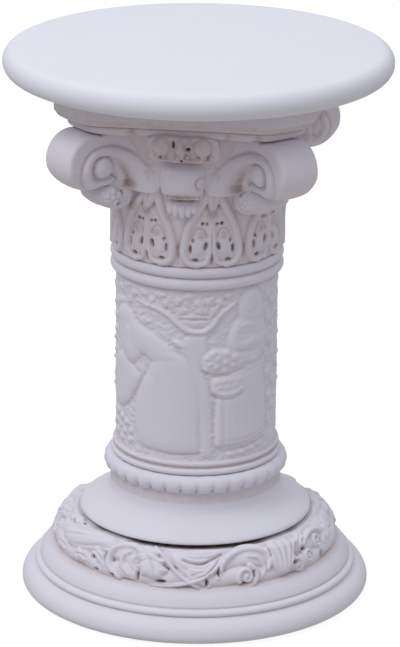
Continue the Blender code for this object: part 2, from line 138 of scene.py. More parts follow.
class Relief:
    """A height in metres over a grid, with how much wash and painted shade the forms give each point.

    x and y are the grid's places in metres, one-dimensional where rows and columns are straight. Forms
    are given in degrees or millimetres from a movable origin, and unit turns these into metres. Where x
    comes round again, wraps is true.
    """

    def __init__(self, x, y, unit=(MM, MM), wraps=False):
        self.x = x
        self.y = y
        self.unit = np.array(unit)
        self.origin = np.zeros(2)
        self.wraps = wraps
        shape = x.shape if x.ndim == 2 else (len(y), len(x))
        self.height = np.zeros(shape)
        self.wash_and_shade_tint = np.zeros(shape)

    def placed(self, points):
        """The places in metres of points that are given in the forms' units from the origin."""
        return (np.asarray(points, float) + self.origin) * self.unit

    def part(self, points, reach):
        """The rows and columns that lie within reach of the points, with their x and y."""
        if self.x.ndim == 2:
            return (slice(None), slice(None)), self.x, self.y
        low = points.min(axis=0) - reach
        high = points.max(axis=0) + reach
        step = self.x[1] - self.x[0]
        first, last = (low[0] - self.x[0]) / step, (high[0] - self.x[0]) / step
        columns = np.arange(math.floor(first), math.ceil(last) + 1)
        if self.wraps:
            columns = columns[: len(self.x)]
        else:
            columns = columns[(columns >= 0) & (columns < len(self.x))]
        rows = np.nonzero((self.y >= low[1]) & (self.y <= high[1]))[0]
        x = self.x[0] + columns * step
        return np.ix_(rows, columns % len(self.x)), x[None, :], self.y[rows][:, None]

    def lay(self, index, form, covers, on):
        """Adds a form where it covers the grid: on top of what is there, or rising out of it."""
        here = self.height[index]
        raised = here + form if on else np.maximum(here, form)
        self.height[index] = np.where(covers, raised, here)

    def ridge(self, points, width, height, taper=(1, 1, 1), on=False, level=0.0, smooth=True):
        """A round-backed ridge along a path: its height falls from its middle line as a quarter circle."""
        path = self.placed(points)
        path = flowing(path) if smooth else path
        width, height, level = width * MM, height * MM, level * MM
        index, x, y = self.part(path, width * max(taper))
        gap, along = from_path(x, y, path)
        share = np.interp(along, np.linspace(0, 1, len(taper)), taper)
        half = np.maximum(width * share, 1e-6)
        form = height * dome(gap / half) * np.minimum(1, np.sqrt(share))
        self.lay(index, form + level, gap < half, on)

    def groove(self, points, width, depth, taper=(1, 1, 1), wash_and_shade_tint=0.0, smooth=True):
        """A soft groove along a path, deepest on its line and fading as a bell curve does."""
        path = self.placed(points)
        path = flowing(path) if smooth else path
        width, depth = width * MM, depth * MM
        index, x, y = self.part(path, 2.5 * width)
        gap, along = from_path(x, y, path)
        fade = np.interp(along, np.linspace(0, 1, len(taper)), taper) * np.exp(-((gap / width) ** 2))
        self.height[index] -= depth * fade
        # The groove's tint lays wash and painted shade along it.
        self.wash_and_shade_tint[index] = np.maximum(self.wash_and_shade_tint[index], wash_and_shade_tint * fade)

    def mass(self, outline, height, edge=4.0, on=False, level=0.0, lean=(0, 0), smooth=True):
        """A filled form that rises as a quarter circle within the edge's width and then stays level.

        lean tilts its face by so many millimetres for each millimetre along x and y.
        """
        closed = self.placed(outline)
        closed = np.vstack((closed, closed[:1]))
        if smooth:
            closed = flowing(closed)
        height, edge, level = height * MM, edge * MM, level * MM
        index, x, y = self.part(closed, 0)
        inside = within(x, y, closed[:-1])
        gap, _ = from_path(x, y, closed)
        middle = closed.mean(axis=0)
        tilt = lean[0] * (x - middle[0]) + lean[1] * (y - middle[1])
        form = (height + tilt) * dome(1 - np.minimum(gap / edge, 1))
        self.lay(index, form + level, inside, on)

    def ball(self, centre, size, height, turn=0.0, on=False, level=0.0):
        """Half an ellipsoid: size is its half length and half width in millimetres, turn its angle."""
        index, x, y, share = self.oval(centre, size, turn, 1.0)
        self.lay(index, (height * dome(share) + level) * MM, share < 1, on)

    def oval(self, centre, size, turn, reach):
        """Each point's distance from a centre as a share of an oval's reach in that direction."""
        middle = self.placed(centre)
        size = np.array(size, float) * MM
        index, x, y = self.part(middle[None, :], reach * size.max())
        c, s = math.cos(turn * DEG), math.sin(turn * DEG)
        a = ((x - middle[0]) * c + (y - middle[1]) * s) / size[0]
        b = ((y - middle[1]) * c - (x - middle[0]) * s) / size[1]
        return index, x, y, np.hypot(a, b)

    def pit(self, centre, size, depth, turn=0.0, wash_and_shade_tint=1.0):
        """A drilled hole with a soft lip, sunk to a depth below the grid's own surface and painted dark
        inside as shadow.
        """
        index, x, y, share = self.oval(centre, size, turn, 1.5)
        sunk = 1 - ease(share, 0.7, 1.15)
        self.height[index] = self.height[index] * (1 - sunk) - depth * MM * sunk
        self.wash_and_shade_tint[index] = np.maximum(self.wash_and_shade_tint[index], wash_and_shade_tint * (1 - ease(share, 0.6, 1.3)))

    def wash_and_shade_patch(self, centre, size, wash_and_shade_tint):
        """Wash and painted shade laid over an oval, thickest in its middle, whatever its height is."""
        index, x, y, share = self.oval(centre, size, 0, 1.0)
        self.wash_and_shade_tint[index] = np.maximum(self.wash_and_shade_tint[index], wash_and_shade_tint * (1 - ease(share, 0.3, 1)))

    def leaf(self, points, width, height, lobes=4, level=0.0, on=False, depth=0.3):
        """A fluted leaf along a path: lobed sides, a groove down its middle, and flutes into the lobes."""
        path = flowing(self.placed(points))
        width, height, level = width * MM, height * MM, level * MM
        index, x, y = self.part(path, width * 1.3)
        gap, along = from_path(x, y, path)
        share = np.sin(math.pi * np.clip(along * 0.92 + 0.06, 0, 1) ** 0.8)
        lobe = 1 + 0.2 * np.cos(2 * math.pi * (lobes * along + 0.2))
        half = np.maximum(width * share * lobe, 1e-6)
        out = gap / half
        flute = 0.5 + 0.5 * np.cos(2 * math.pi * (lobes * along - 0.8 * np.minimum(out, 1)) + 1.2)
        vein = np.exp(-((gap / (0.14 * width)) ** 2))
        form = height * dome(np.minimum(out, 1) ** 1.6) * (1 - depth * flute * np.minimum(2 * out, 1))
        form -= 0.4 * height * vein
        form *= np.minimum(1, 0.35 + 2.6 * along)
        self.lay(index, np.maximum(form, 0) + level, out < 1, on)

    def scroll(self, centre, radii, start, turns, width, height, squash=1.0, level=0.0, eye=0.0):
        """A curled ridge that winds in round a centre and ends in a small ball."""
        path = spiral(radii, start, turns, squash) * MM / self.unit + centre
        self.ridge(path, width, height, taper=(1, 0.95, 0.7), level=level, smooth=False)
        if eye:
            self.ball(centre, (eye, eye), height * 1.05, level=level)

    def soften(self, reach):
        """Blurs the height a little, as thin slip and paint do on a casting."""
        self.height = self.blurred(self.height, reach * MM)

    def blurred(self, field, reach):
        """A field blurred with a bell curve as wide as the reach, mirrored at the edges unless it wraps."""
        if self.x.ndim == 2:
            step_x = step_y = 1.0 * MM
        else:
            step_x = self.x[1] - self.x[0]
            step_y = self.y[1] - self.y[0]
        edge_y = min(field.shape[0] - 1, int(4 * reach / step_y) + 1)
        edge_x = 0 if self.wraps else min(field.shape[1] - 1, int(4 * reach / step_x) + 1)
        wide = np.pad(field, ((edge_y, edge_y), (edge_x, edge_x)), mode="reflect")
        fy = np.fft.fftfreq(wide.shape[0], step_y)[:, None]
        fx = np.fft.rfftfreq(wide.shape[1], step_x)[None, :]
        keep = np.exp(-2 * (math.pi * reach) ** 2 * (fx**2 + fy**2))
        soft = np.fft.irfft2(np.fft.rfft2(wide) * keep, s=wide.shape)
        return soft[edge_y : edge_y + field.shape[0], edge_x : edge_x + field.shape[1]]

    def wash_and_shade(self, reach=4.0, depth=2.2):
        """How much wash and painted shade lies at each point: as the forms give it, or by how far it lies
        below what is near it.
        """
        below = (self.blurred(self.height, reach * MM) - self.height) / (depth * MM)
        return np.clip(np.maximum(self.wash_and_shade_tint, below), 0, 1)


# Grids turned into meshes


def turned(profile, columns, lift=None):
    """A profile of (radius, height) turned round the axis and moved out along its normals by lift."""
    slope = np.gradient(profile, axis=0)
    slope /= np.maximum(np.linalg.norm(slope, axis=1, keepdims=True), 1e-12)
    out, up = slope[:, 1:2], -slope[:, 0:1]
    lift = 0 if lift is None else lift
    radius = profile[:, 0:1] + out * lift
    height = profile[:, 1:2] + up * lift
    azimuth = np.linspace(-180, 180, columns, endpoint=False)[None, :] * DEG
    radius, height, azimuth = np.broadcast_arrays(radius, height, azimuth)
    return np.stack((radius * np.sin(azimuth), -radius * np.cos(azimuth), height), axis=-1)


def closed_grids(grids):
    """Vertices and faces of grids: columns come round again, and the end rows close in a point each."""
    points, faces, first = [], [], 0
    for grid in grids:
        rows, columns = grid.shape[:2]
        poles = np.stack((grid[0].mean(axis=0), grid[-1].mean(axis=0)))
        points.append(np.vstack((grid.reshape(-1, 3), poles)))
        index = first + np.arange(rows * columns).reshape(rows, columns)
        right = np.roll(index, -1, axis=1)
        quads = np.stack((index[:-1], right[:-1], right[1:], index[1:]), axis=-1).reshape(-1, 4)
        low = first + rows * columns
        fan_low = np.stack((right[0], index[0], np.full(columns, low)), axis=-1)
        fan_high = np.stack((index[-1], right[-1], np.full(columns, low + 1)), axis=-1)
        faces += quads.tolist() + fan_low.tolist() + fan_high.tolist()
        first += len(points[-1])
    return np.vstack(points), faces


def piece(name, grids, wash_and_shade_fields, material, node):
    """One finished piece: its grids as one mesh, its attribute of wash and painted shade and its material,
    riding on the body.
    """
    points, faces = closed_grids(grids)
    wash_and_shade = np.concatenate([np.append(w.ravel(), (w[0].mean(), w[-1].mean())) for w in wash_and_shade_fields])
    mesh = bpy.data.meshes.new(name)
    mesh.from_pydata(points.tolist(), [], faces)
    mesh.attributes.new("wash_and_shade", "FLOAT", "POINT").data.foreach_set("value", wash_and_shade.astype(np.float32))
    mesh.polygons.foreach_set("use_smooth", np.ones(len(mesh.polygons), bool))
    mesh.materials.append(material)
    mesh.update()
    made = bpy.data.objects.new(name, mesh)
    bpy.context.scene.collection.objects.link(made)
    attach(made, "root")
    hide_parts(node)


def even_wash_and_shade(grid, value=0.0):
    """The same wash and painted shade all over a grid."""
    return np.full(grid.shape[:2], value)


def unevenness(columns, rows, seed, waves=7):
    """A smooth random field of about -1 to 1 over a turned grid: a few slow waves round and up, added."""
    chance = np.random.default_rng(seed)
    azimuth = np.linspace(0, 2 * math.pi, columns, endpoint=False)[None, :]
    up = np.linspace(0, 1, rows)[:, None]
    field = np.zeros((rows, columns))
    for _ in range(waves):
        turns = chance.integers(2, 9)
        field += np.cos(turns * azimuth + chance.uniform(0, 6.3) + chance.uniform(-5, 5) * up)
    return field / waves


# Materials


def cast_group():
    """The shared look of the casting: mottled white, a brown-grey wash with painted shade and fine grain.

    It puts out a colour, a roughness and a height for the bump.
    """
    found = bpy.data.node_groups.get("Cast surface")
    if found:
        return found
    group = bpy.data.node_groups.new("Cast surface", "ShaderNodeTree")
    face = group.interface
    for name in ("Body colour", "Wash and shade colour", "Painted shadow colour"):
        face.new_socket(name, in_out="INPUT", socket_type="NodeSocketColor")
    face.new_socket("Wash and shade amount", in_out="INPUT", socket_type="NodeSocketFloat")
    face.new_socket("Color", in_out="OUTPUT", socket_type="NodeSocketColor")
    for name in ("Roughness", "Height"):
        face.new_socket(name, in_out="OUTPUT", socket_type="NodeSocketFloat")
    nodes, links = group.nodes, group.links
    given = nodes.new("NodeGroupInput")
    out = nodes.new("NodeGroupOutput")
    place = nodes.new("ShaderNodeTexCoord")
    # The wash attribute holds the brown wash together with the shade painted into the hollows.
    wash_and_shade = nodes.new("ShaderNodeAttribute")
    wash_and_shade.attribute_name = "wash_and_shade"
    cloud = noise(group, place, 14.0, 3.0)
    speck = noise(group, place, 160.0, 4.0)
    grain = noise(group, place, 900.0, 2.0)

    uneven = rescaled(group, speck.outputs["Fac"], (0.35, 0.7), (0.75, 1.2))
    amount = calculate(group, "MULTIPLY", wash_and_shade.outputs["Fac"], uneven)
    amount = calculate(group, "MULTIPLY", amount, given.outputs["Wash and shade amount"])
    amount.node.use_clamp = True

    mottle = nodes.new("ShaderNodeMix")
    mottle.data_type = "RGBA"
    mottle.blend_type = "MULTIPLY"
    mottle.inputs["B"].default_value = (0.93, 0.92, 0.9, 1)
    links.new(given.outputs["Body colour"], mottle.inputs["A"])
    faint = calculate(group, "MULTIPLY", cloud.outputs["Fac"], 0.55)
    links.new(faint, mottle.inputs["Factor"])
    washed_and_shaded = nodes.new("ShaderNodeMix")
    washed_and_shaded.data_type = "RGBA"
    # Where the wash is above a half it turns towards the painted shadow colour: shadow painted into the
    # deepest hollows.
    painted_shadow_mix = nodes.new("ShaderNodeMix")
    painted_shadow_mix.data_type = "RGBA"
    links.new(rescaled(group, wash_and_shade.outputs["Fac"], (0.5, 1), (0, 1)), painted_shadow_mix.inputs["Factor"])
    links.new(given.outputs["Wash and shade colour"], painted_shadow_mix.inputs["A"])
    links.new(given.outputs["Painted shadow colour"], painted_shadow_mix.inputs["B"])
    links.new(amount, washed_and_shaded.inputs["Factor"])
    links.new(mottle.outputs["Result"], washed_and_shaded.inputs["A"])
    links.new(painted_shadow_mix.outputs["Result"], washed_and_shaded.inputs["B"])
    links.new(washed_and_shaded.outputs["Result"], out.inputs["Color"])

    links.new(rescaled(group, speck.outputs["Fac"], (0, 1), (0.62, 0.86)), out.inputs["Roughness"])
    height = calculate(group, "MULTIPLY", speck.outputs["Fac"], 0.7)
    fine = calculate(group, "MULTIPLY", grain.outputs["Fac"], 0.3)
    total = calculate(group, "ADD", height, fine)
    links.new(total, out.inputs["Height"])
    return group


def noise(tree, place, scale, detail):
    """A noise texture over the object's own coordinates."""
    made = tree.nodes.new("ShaderNodeTexNoise")
    made.inputs["Scale"].default_value = scale
    made.inputs["Detail"].default_value = detail
    tree.links.new(place.outputs["Object"], made.inputs["Vector"])
    return made


def rescaled(tree, value, given, wanted):
    """A value moved evenly from one range to another and held at the new range's ends."""
    made = tree.nodes.new("ShaderNodeMapRange")
    for name, end in zip(("From Min", "From Max", "To Min", "To Max"), (*given, *wanted)):
        made.inputs[name].default_value = end
    tree.links.new(value, made.inputs["Value"])
    return made.outputs["Result"]


def calculate(tree, operation, first, second):
    """A sum over two sockets or numbers, as the socket of its result."""
    made = tree.nodes.new("ShaderNodeMath")
    made.operation = operation
    for k, value in enumerate((first, second)):
        if isinstance(value, (int, float)):
            made.inputs[k].default_value = value
        else:
            tree.links.new(value, made.inputs[k])
    return made.outputs[0]


def cast_material(name, body, wash_and_shade, amount, bump):
    """A matte cast material with the shared surface on its colour, roughness and bump."""
    found = bpy.data.materials.get(name)
    if found:
        return found
    made = bpy.data.materials.new(name)
    made.use_nodes = True
    tree = made.node_tree
    shader = tree.nodes["Principled BSDF"]
    surface = tree.nodes.new("ShaderNodeGroup")
    surface.node_tree = cast_group()
    surface.inputs["Body colour"].default_value = (*body, 1)
    surface.inputs["Wash and shade colour"].default_value = (*wash_and_shade, 1)
    # The painted shadow colour: the wash colour darkened, for the shadow painted into holes and the trench.
    surface.inputs["Painted shadow colour"].default_value = tuple(0.28 * part for part in wash_and_shade) + (1,)
    surface.inputs["Wash and shade amount"].default_value = amount
    grain = tree.nodes.new("ShaderNodeBump")
    grain.inputs["Strength"].default_value = bump
    grain.inputs["Distance"].default_value = 0.0006
    tree.links.new(surface.outputs["Color"], shader.inputs["Base Color"])
    tree.links.new(surface.outputs["Roughness"], shader.inputs["Roughness"])
    tree.links.new(surface.outputs["Height"], grain.inputs["Height"])
    tree.links.new(grain.outputs["Normal"], shader.inputs["Normal"])
    shader.inputs["IOR"].default_value = 1.45
    shader.inputs["Specular IOR Level"].default_value = 0.25
    return made


def column_piece(name, grids, wash_and_shade_fields):
    """A piece of the column, in its casting."""
    finish = bpy.context.scene.column_finish
    cast = cast_material("Column cast", finish.body_colour, finish.wash_and_shade_colour, finish.wash_and_shade_amount, 0.35)
    piece(name, grids, wash_and_shade_fields, cast, "column")


def top_piece(name, grids, wash_and_shade_fields):
    """A piece of the table top, in its smoother casting."""
    finish = bpy.context.scene.column_finish
    cast = cast_material("Table top cast", finish.top_colour, finish.wash_and_shade_colour, finish.wash_and_shade_amount, 0.2)
    piece(name, grids, wash_and_shade_fields, cast, "table_top")


# Sizes


def length(name, description, default):
    """A length property in metres."""
    return bpy.props.FloatProperty(
        name=name, description=description, default=default, subtype="DISTANCE", unit="LENGTH"
    )


def degrees(name, description, value):
    """An angle property, given in degrees."""
    return bpy.props.FloatProperty(
        name=name, description=description, default=value * DEG, subtype="ANGLE",
    )


def rgb(name, description, default):
    """A colour property."""
    return bpy.props.FloatVectorProperty(
        name=name, description=description, default=default, subtype="COLOR",
    )


class TopSizes(bpy.types.PropertyGroup):
    """Sizes of the table top and its abacus."""

    disc_radius: length("Top radius", "Radius of the round table top", 0.205)
    disc_low: length("Top underside", "Height of the round top's underside", 0.5723)
    disc_high: length("Top face", "Height of the round top's upper face", 0.6)
    abacus_half: length("Abacus half width", "From the axis to the middle of an abacus side", 0.137)
    abacus_cut: length("Abacus corner reach", "From the axis to the middle of a cut corner", 0.1685)
    abacus_low: length("Abacus underside", "Height of the abacus's underside", 0.5425)


class CapitalSizes(bpy.types.PropertyGroup):
    """Sizes of the capital."""

    low: length("Capital foot", "Height of the bell's lower edge", 0.386)
    high: length("Capital top", "Height of the capital's upper edge", 0.5422)
    eye_reach: length("Volute eye reach", "From the axis to a volute's eye", 0.1384)
    eye_height: length("Volute eye height", "Height of a volute's eye", 0.498)
    eye_radius: length("Volute eye radius", "Radius of a volute's domed eye", 0.0118)
    roll_radius: length("Volute roll radius", "Radius of a volute's outer roll", 0.0298)
    roll_half: length("Volute half width", "Half the roll's width at its eye", 0.0240)
    curl_reach: length("Lower curl reach", "From the axis to a lower curl's middle", 0.1185)
    curl_height: length("Lower curl height", "Height of a lower curl's middle", 0.4630)


class DrumSizes(bpy.types.PropertyGroup):
    """Sizes of the drum, its rings and its rope."""

    radius: length("Drum radius", "Radius of the drum's plain wall", 0.0859)
    low: length("Drum foot", "Height of the drum's lower edge", 0.165)
    high: length("Drum top", "Height of the drum's upper edge", 0.3600)
    ring_reach: length("Neck ring reach", "Outer radius of the two neck rings", 0.092)
    rope_radius: length("Rope radius", "Radius of the rope ring's middle line", 0.0889)
    rope_height: length("Rope height", "Height of the rope ring's middle line", 0.1443)
    rope_half: length("Rope half thickness", "Half the rope's thickness", 0.0101)


class FootSizes(bpy.types.PropertyGroup):
    """Sizes of the foot, its wreath and its cap."""

    cap_low: length("Cap underside", "Height of the cap's underside", 0.0887)
    trench_low: length("Trench bottom", "Height of the trench between wreath and cap", 0.0848)
    base_high: length("Base top", "Height of the stepped base's upper face", 0.0548)


class FinishSizes(bpy.types.PropertyGroup):
    """Colours of the casting."""

    body_colour: rgb("Body colour", "Colour of the column's casting", (0.79, 0.78, 0.88))
    top_colour: rgb("Top colour", "Colour of the table top's casting", (0.80, 0.812, 0.90))
    # This colour is both the brown wash and the shade painted into the hollows.
    wash_and_shade_colour: rgb("Wash and shade colour", "Colour of the wash in the hollows", (0.52, 0.375, 0.31))
    wash_and_shade_amount: bpy.props.FloatProperty(
        name="Wash and shade amount", description="How strongly the wash covers the hollows", default=0.85
    )


class StageSizes(bpy.types.PropertyGroup):
    """The camera's place and lens."""

    camera: bpy.props.FloatVectorProperty(
        name="Camera",
        description="Place of the camera",
        default=(0.568, -3.588, 1.523),
        subtype="TRANSLATION",
        unit="LENGTH",
    )
    dip: degrees("Dip", "How far the camera looks down", 18.68)
    turn: degrees("Turn", "The camera's turn about +Z", 8.938)
    roll: degrees("Roll", "The camera's roll", 0.48)
    lens: bpy.props.FloatProperty(
        name="Lens", description="Focal length in millimetres on a 36 mm sensor", default=199.4
    )


GROUPS = {
    "column_top": TopSizes,
    "column_capital": CapitalSizes,
    "column_drum": DrumSizes,
    "column_foot": FootSizes,
    "column_finish": FinishSizes,
    "column_stage": StageSizes,
}


# The table top


def octagon_reach(azimuth, half, corner, sharpness=34.0):
    """How far a square with cut corners reaches at each azimuth: a power mean of its eight sides."""
    c, s = np.cos(azimuth), np.sin(azimuth)
    total = np.abs(c / half) ** sharpness + np.abs(s / half) ** sharpness
    total += np.abs((c + s) / math.sqrt(2) / corner) ** sharpness
    total += np.abs((c - s) / math.sqrt(2) / corner) ** sharpness
    return total ** (-1 / sharpness)


def plate(profile, half, corner, columns):
    """A plate with an octagon's outline: each row of the profile is an inset from it and a height.

    The plate closes on the axis above and below, on rows that shrink towards it.
    """
    azimuth = np.linspace(-180, 180, columns, endpoint=False) * DEG
    reach = octagon_reach(azimuth, half, corner)
    shares = np.array((0.02, 0.5, 0.8))[:, None]
    radius = np.vstack((
        (reach - profile[0, 0]) * shares, reach - profile[:, :1], (reach - profile[-1, 0]) * shares[::-1],
    ))
    height = np.pad(profile[:, 1], len(shares), mode="edge")[:, None]
    return np.stack(np.broadcast_arrays(
        radius * np.sin(azimuth), -radius * np.cos(azimuth), height,
    ), axis=-1)


def arc(centre, radius, start, end, count):
    """Points of an arc in a profile, with angles in degrees from the outward direction."""
    angle = np.linspace(start, end, count) * DEG
    return np.stack((centre[0] + radius * np.cos(angle), centre[1] + radius * np.sin(angle)), axis=1)


def line(start, end, count):
    """Evenly spaced points between two, without the last."""
    return np.linspace(start, end, count, endpoint=False)


def build_top(context):
    """The round top with its half-round edge, and the abacus: flat sides over a quarter-round moulding."""
    sizes = context.scene.column_top
    thick = sizes.disc_high - sizes.disc_low
    edge = thick / 2
    middle = (sizes.disc_radius - edge, sizes.disc_low + edge)
    profile = np.vstack((
        line((0.004, sizes.disc_low), (middle[0], sizes.disc_low), 20),
        arc(middle, edge, -90, 90, 21)[:-1],
        np.linspace((middle[0], sizes.disc_high), (0.004, sizes.disc_high), 24),
    ))
    columns = 256
    grid = turned(profile, columns)
    sag = 0.00012 * (unevenness(columns, len(profile), 3) - 1)
    grid[..., 2] += np.where(grid[..., 2] > middle[1], sag, 0)
    top_piece("table_top_disc", [grid], [even_wash_and_shade(grid)])

    low, high = sizes.abacus_low, sizes.disc_low + 0.001
    quarter = np.linspace(0, 90, 9) * DEG
    moulding = (0.0165 - 0.0145 * np.sin(quarter), low + 0.0006 + 0.0068 * (1 - np.cos(quarter)))
    insets = np.vstack((
        ((0.0175, low), (0.0165, low + 0.0006)),
        np.stack(moulding, axis=1),
        ((0.0012, low + 0.0078), (0.0, low + 0.0092)),
        np.linspace((0.0, low + 0.0105), (0.0, high), 6),
    ))
    grid = plate(insets, sizes.abacus_half, sizes.abacus_cut, 360)
    # Wash with painted shade under the round top: most on the underside and moulding, less on the flat
    # sides.
    wash_and_shade = even_wash_and_shade(grid)
    wash_and_shade[3:16] = 0.55
    wash_and_shade[16:] = 0.28
    top_piece("table_top_abacus", [grid], [wash_and_shade])


# The capital


def bell_profile(sizes, rows):
    """The bell's wall: straight above the neck rings, then flaring out under the abacus."""
    given = np.array((
        (89.0, 386), (90.0, 394), (90.4, 404), (89.8, 416), (90.0, 428), (91.6, 442), (95.5, 460),
        (100.5, 480), (106.0, 500), (111.0, 518), (117.0, 534),
    )) * MM
    return evenly(flowing(given), rows)


def draw_loops(relief):
    """Eight heart-shaped pairs of loops: broad smooth bands, and pierced leafwork inside each loop.

    Each heart's bands join in a stalk that leans away from the cushion and runs up to the volute's band.
    """
    for k in range(8):
        middle = 18.8 + 45 * k
        lean = 8.2 if k % 2 else -0.3
        for side in (-1, 1):

            def at(*points):
                """Points given from the heart's middle, mirrored to its side and leaning with it."""
                return [(middle - side * a + lean * float(ease(z, 434, 480)), z) for a, z in points]

            relief.mass(at(
                (11, 392), (17, 397), (18, 410), (15, 428), (9, 446), (2, 458), (0.5, 430), (1, 400),
            ), 0.9, 4)
            relief.mass(at(
                (14.0, 402), (13.0, 412), (9.5, 416.5), (5.0, 414), (5.5, 404), (9.5, 398.5),
            ), 2.3, 4.5)
            relief.mass(at((10.8, 417.5), (9.5, 424), (6.5, 425), (4.2, 418)), 2.0, 3)
            relief.groove(at(
                (13.6, 415), (12.0, 422), (9.3, 427.6), (5.5, 426.4), (3.4, 419),
            ), 1.05, 1.5, wash_and_shade_tint=0.5)
            relief.ridge(at((8.8, 431.5), (6.0, 436), (2.5, 437)), 1.5, 1.8)
            relief.ridge(at(
                (11, 389.3), (4.8, 390.6), (1.9, 399), (1.5, 412), (1.2, 424), (0.6, 433),
            ), 2.5, 3.0, (1, 1, 0.75))
            band = at(
                (9.5, 388.8), (15.5, 391.0), (18.7, 400), (18.2, 413), (15.9, 427), (12.2, 440),
                (8.0, 452), (4.6, 462), (2.4, 472),
            )
            relief.ridge(band, 3.9, 3.9, (0.85, 1.0, 1.1, 1.2))
            # Piercings in the leafwork, painted dark inside as shadow.
            for place, size, turn in (
                ((14.3, 406), (1.8, 5.0), 0), ((12.6, 414.4), (1.7, 2.0), 0),
                ((4.3, 409), (2.4, 4.6), -18 * side), ((11.0, 394.2), (3.8, 2.1), 0),
                ((6.4, 433), (2.2, 2.2), 0), ((3.4, 432.4), (1.7, 2.0), 0),
            ):
                relief.pit(at(place)[0], size, 1.6, turn)
            # Wash with painted shade in the middle of each loop.
            relief.wash_and_shade_patch(at((7.5, 421))[0], (5.5, 7.5), 0.4)
        away = 6 if k % 2 == 0 else -6
        relief.origin[0] = middle
        stalk = [(0, 446), (0.6 * lean, 460), (lean + 0.2 * away, 474), (lean + 0.5 * away, 490)]
        relief.ridge(stalk, 7.8, 7.8, (0.4, 0.85, 1.0, 0.5))
        # Grooves at the heart's foot, beside it and up its split, with wash and painted shade.
        relief.groove([(0, 389), (0, 399)], 1.5, 1.6, wash_and_shade_tint=0.35)
        relief.groove([(-22.5, 389), (-22.5, 400), (-22.6, 414)], 1.3, 1.2, (1, 1, 0.2), wash_and_shade_tint=0.25)
        split = [(lean, 482), (0.85 * lean, 472), (0.6 * lean, 463), (0.2 * lean, 450)]
        relief.groove(split, 1.5, 2.4, (0.1, 1, 0.7, 0.3), wash_and_shade_tint=0.5)
        # Wash with painted shade where the two bands of the heart meet.
        relief.wash_and_shade_patch((0, 445), (10, 13), 0.5)
        relief.origin[0] = 0
    # Painted shade in a band under each side's cushion, and round the foot of each lower curl.
    for k in range(SIDES):
        relief.wash_and_shade_patch((90 * k, 460), (21, 6), 1.0)
        relief.wash_and_shade_patch((90 * k + 45, 446), (30, 9), 0.6)


def build_bell(context):
    """The bell with its loops: a turned wall with heights drawn in degrees and millimetres."""
    sizes = context.scene.column_capital
    columns, rows = 500, 150
    profile = bell_profile(sizes, rows)
    scale = 0.0935 * DEG
    azimuth = np.linspace(-180, 180, columns, endpoint=False)
    heights = np.linspace(profile[0, 1], profile[-1, 1], rows)
    relief = Relief(azimuth * scale, heights, (scale, MM), wraps=True)
    draw_loops(relief)
    relief.soften(0.5)
    # Wash with painted shade in the hollows and over the whole bell, thicker towards the top in the shade
    # under the abacus.
    wash_and_shade = relief.wash_and_shade(3.5, 2.6)
    wash_and_shade += 0.16 + 0.26 * ease(profile[:, 1], 0.46, 0.50)[:, None]
    grid = turned(profile, columns, relief.height)
    inner = turned(np.array(((0.02, sizes.low), (0.06, sizes.low), (0.086, sizes.low))), columns)
    lip = turned(np.array(((0.118, 0.5355), (0.1175, 0.5375), (0.10, 0.5395), (0.02, 0.5395))), columns)
    grid = np.concatenate((inner, grid, lip))
    wash_and_shade = np.concatenate((np.zeros((3, columns)), np.clip(wash_and_shade, 0, 1), np.zeros((4, columns))))
    column_piece("capital_bell", [grid], [wash_and_shade])

    # The lip: a quarter-round plate with three small notches in its front edge
    quarter = np.linspace(0, 90, 7) * DEG
    insets = np.vstack((
        np.stack((0.021 - 0.006 * np.sin(quarter), 0.5335 + 0.006 * (1 - np.cos(quarter))), axis=1),
        ((0.0146, 0.5405), (0.0152, 0.5418), (0.0165, sizes.high)),
    ))
    top = context.scene.column_top
    grid = plate(insets, top.abacus_half, top.abacus_cut, 360)
    azimuth = np.degrees(np.arctan2(grid[..., 0], -grid[..., 1]))
    # Wash with painted shade over the lip under the abacus, and more in its notches.
    wash_and_shade = even_wash_and_shade(grid, 0.34)
    for place, width, amount in ((-22, 1.7, 0.4), (22.5, 1.5, 0.3), (34, 2.0, 0.3)):
        near = np.exp(-(((azimuth - place) / width) ** 2))
        grid[..., :2] *= 1 - (0.03 * near * (grid[..., 2] < 0.5415))[..., None]
        wash_and_shade += amount * near
    column_piece("capital_lip", [grid], [np.clip(wash_and_shade, 0, 1)])


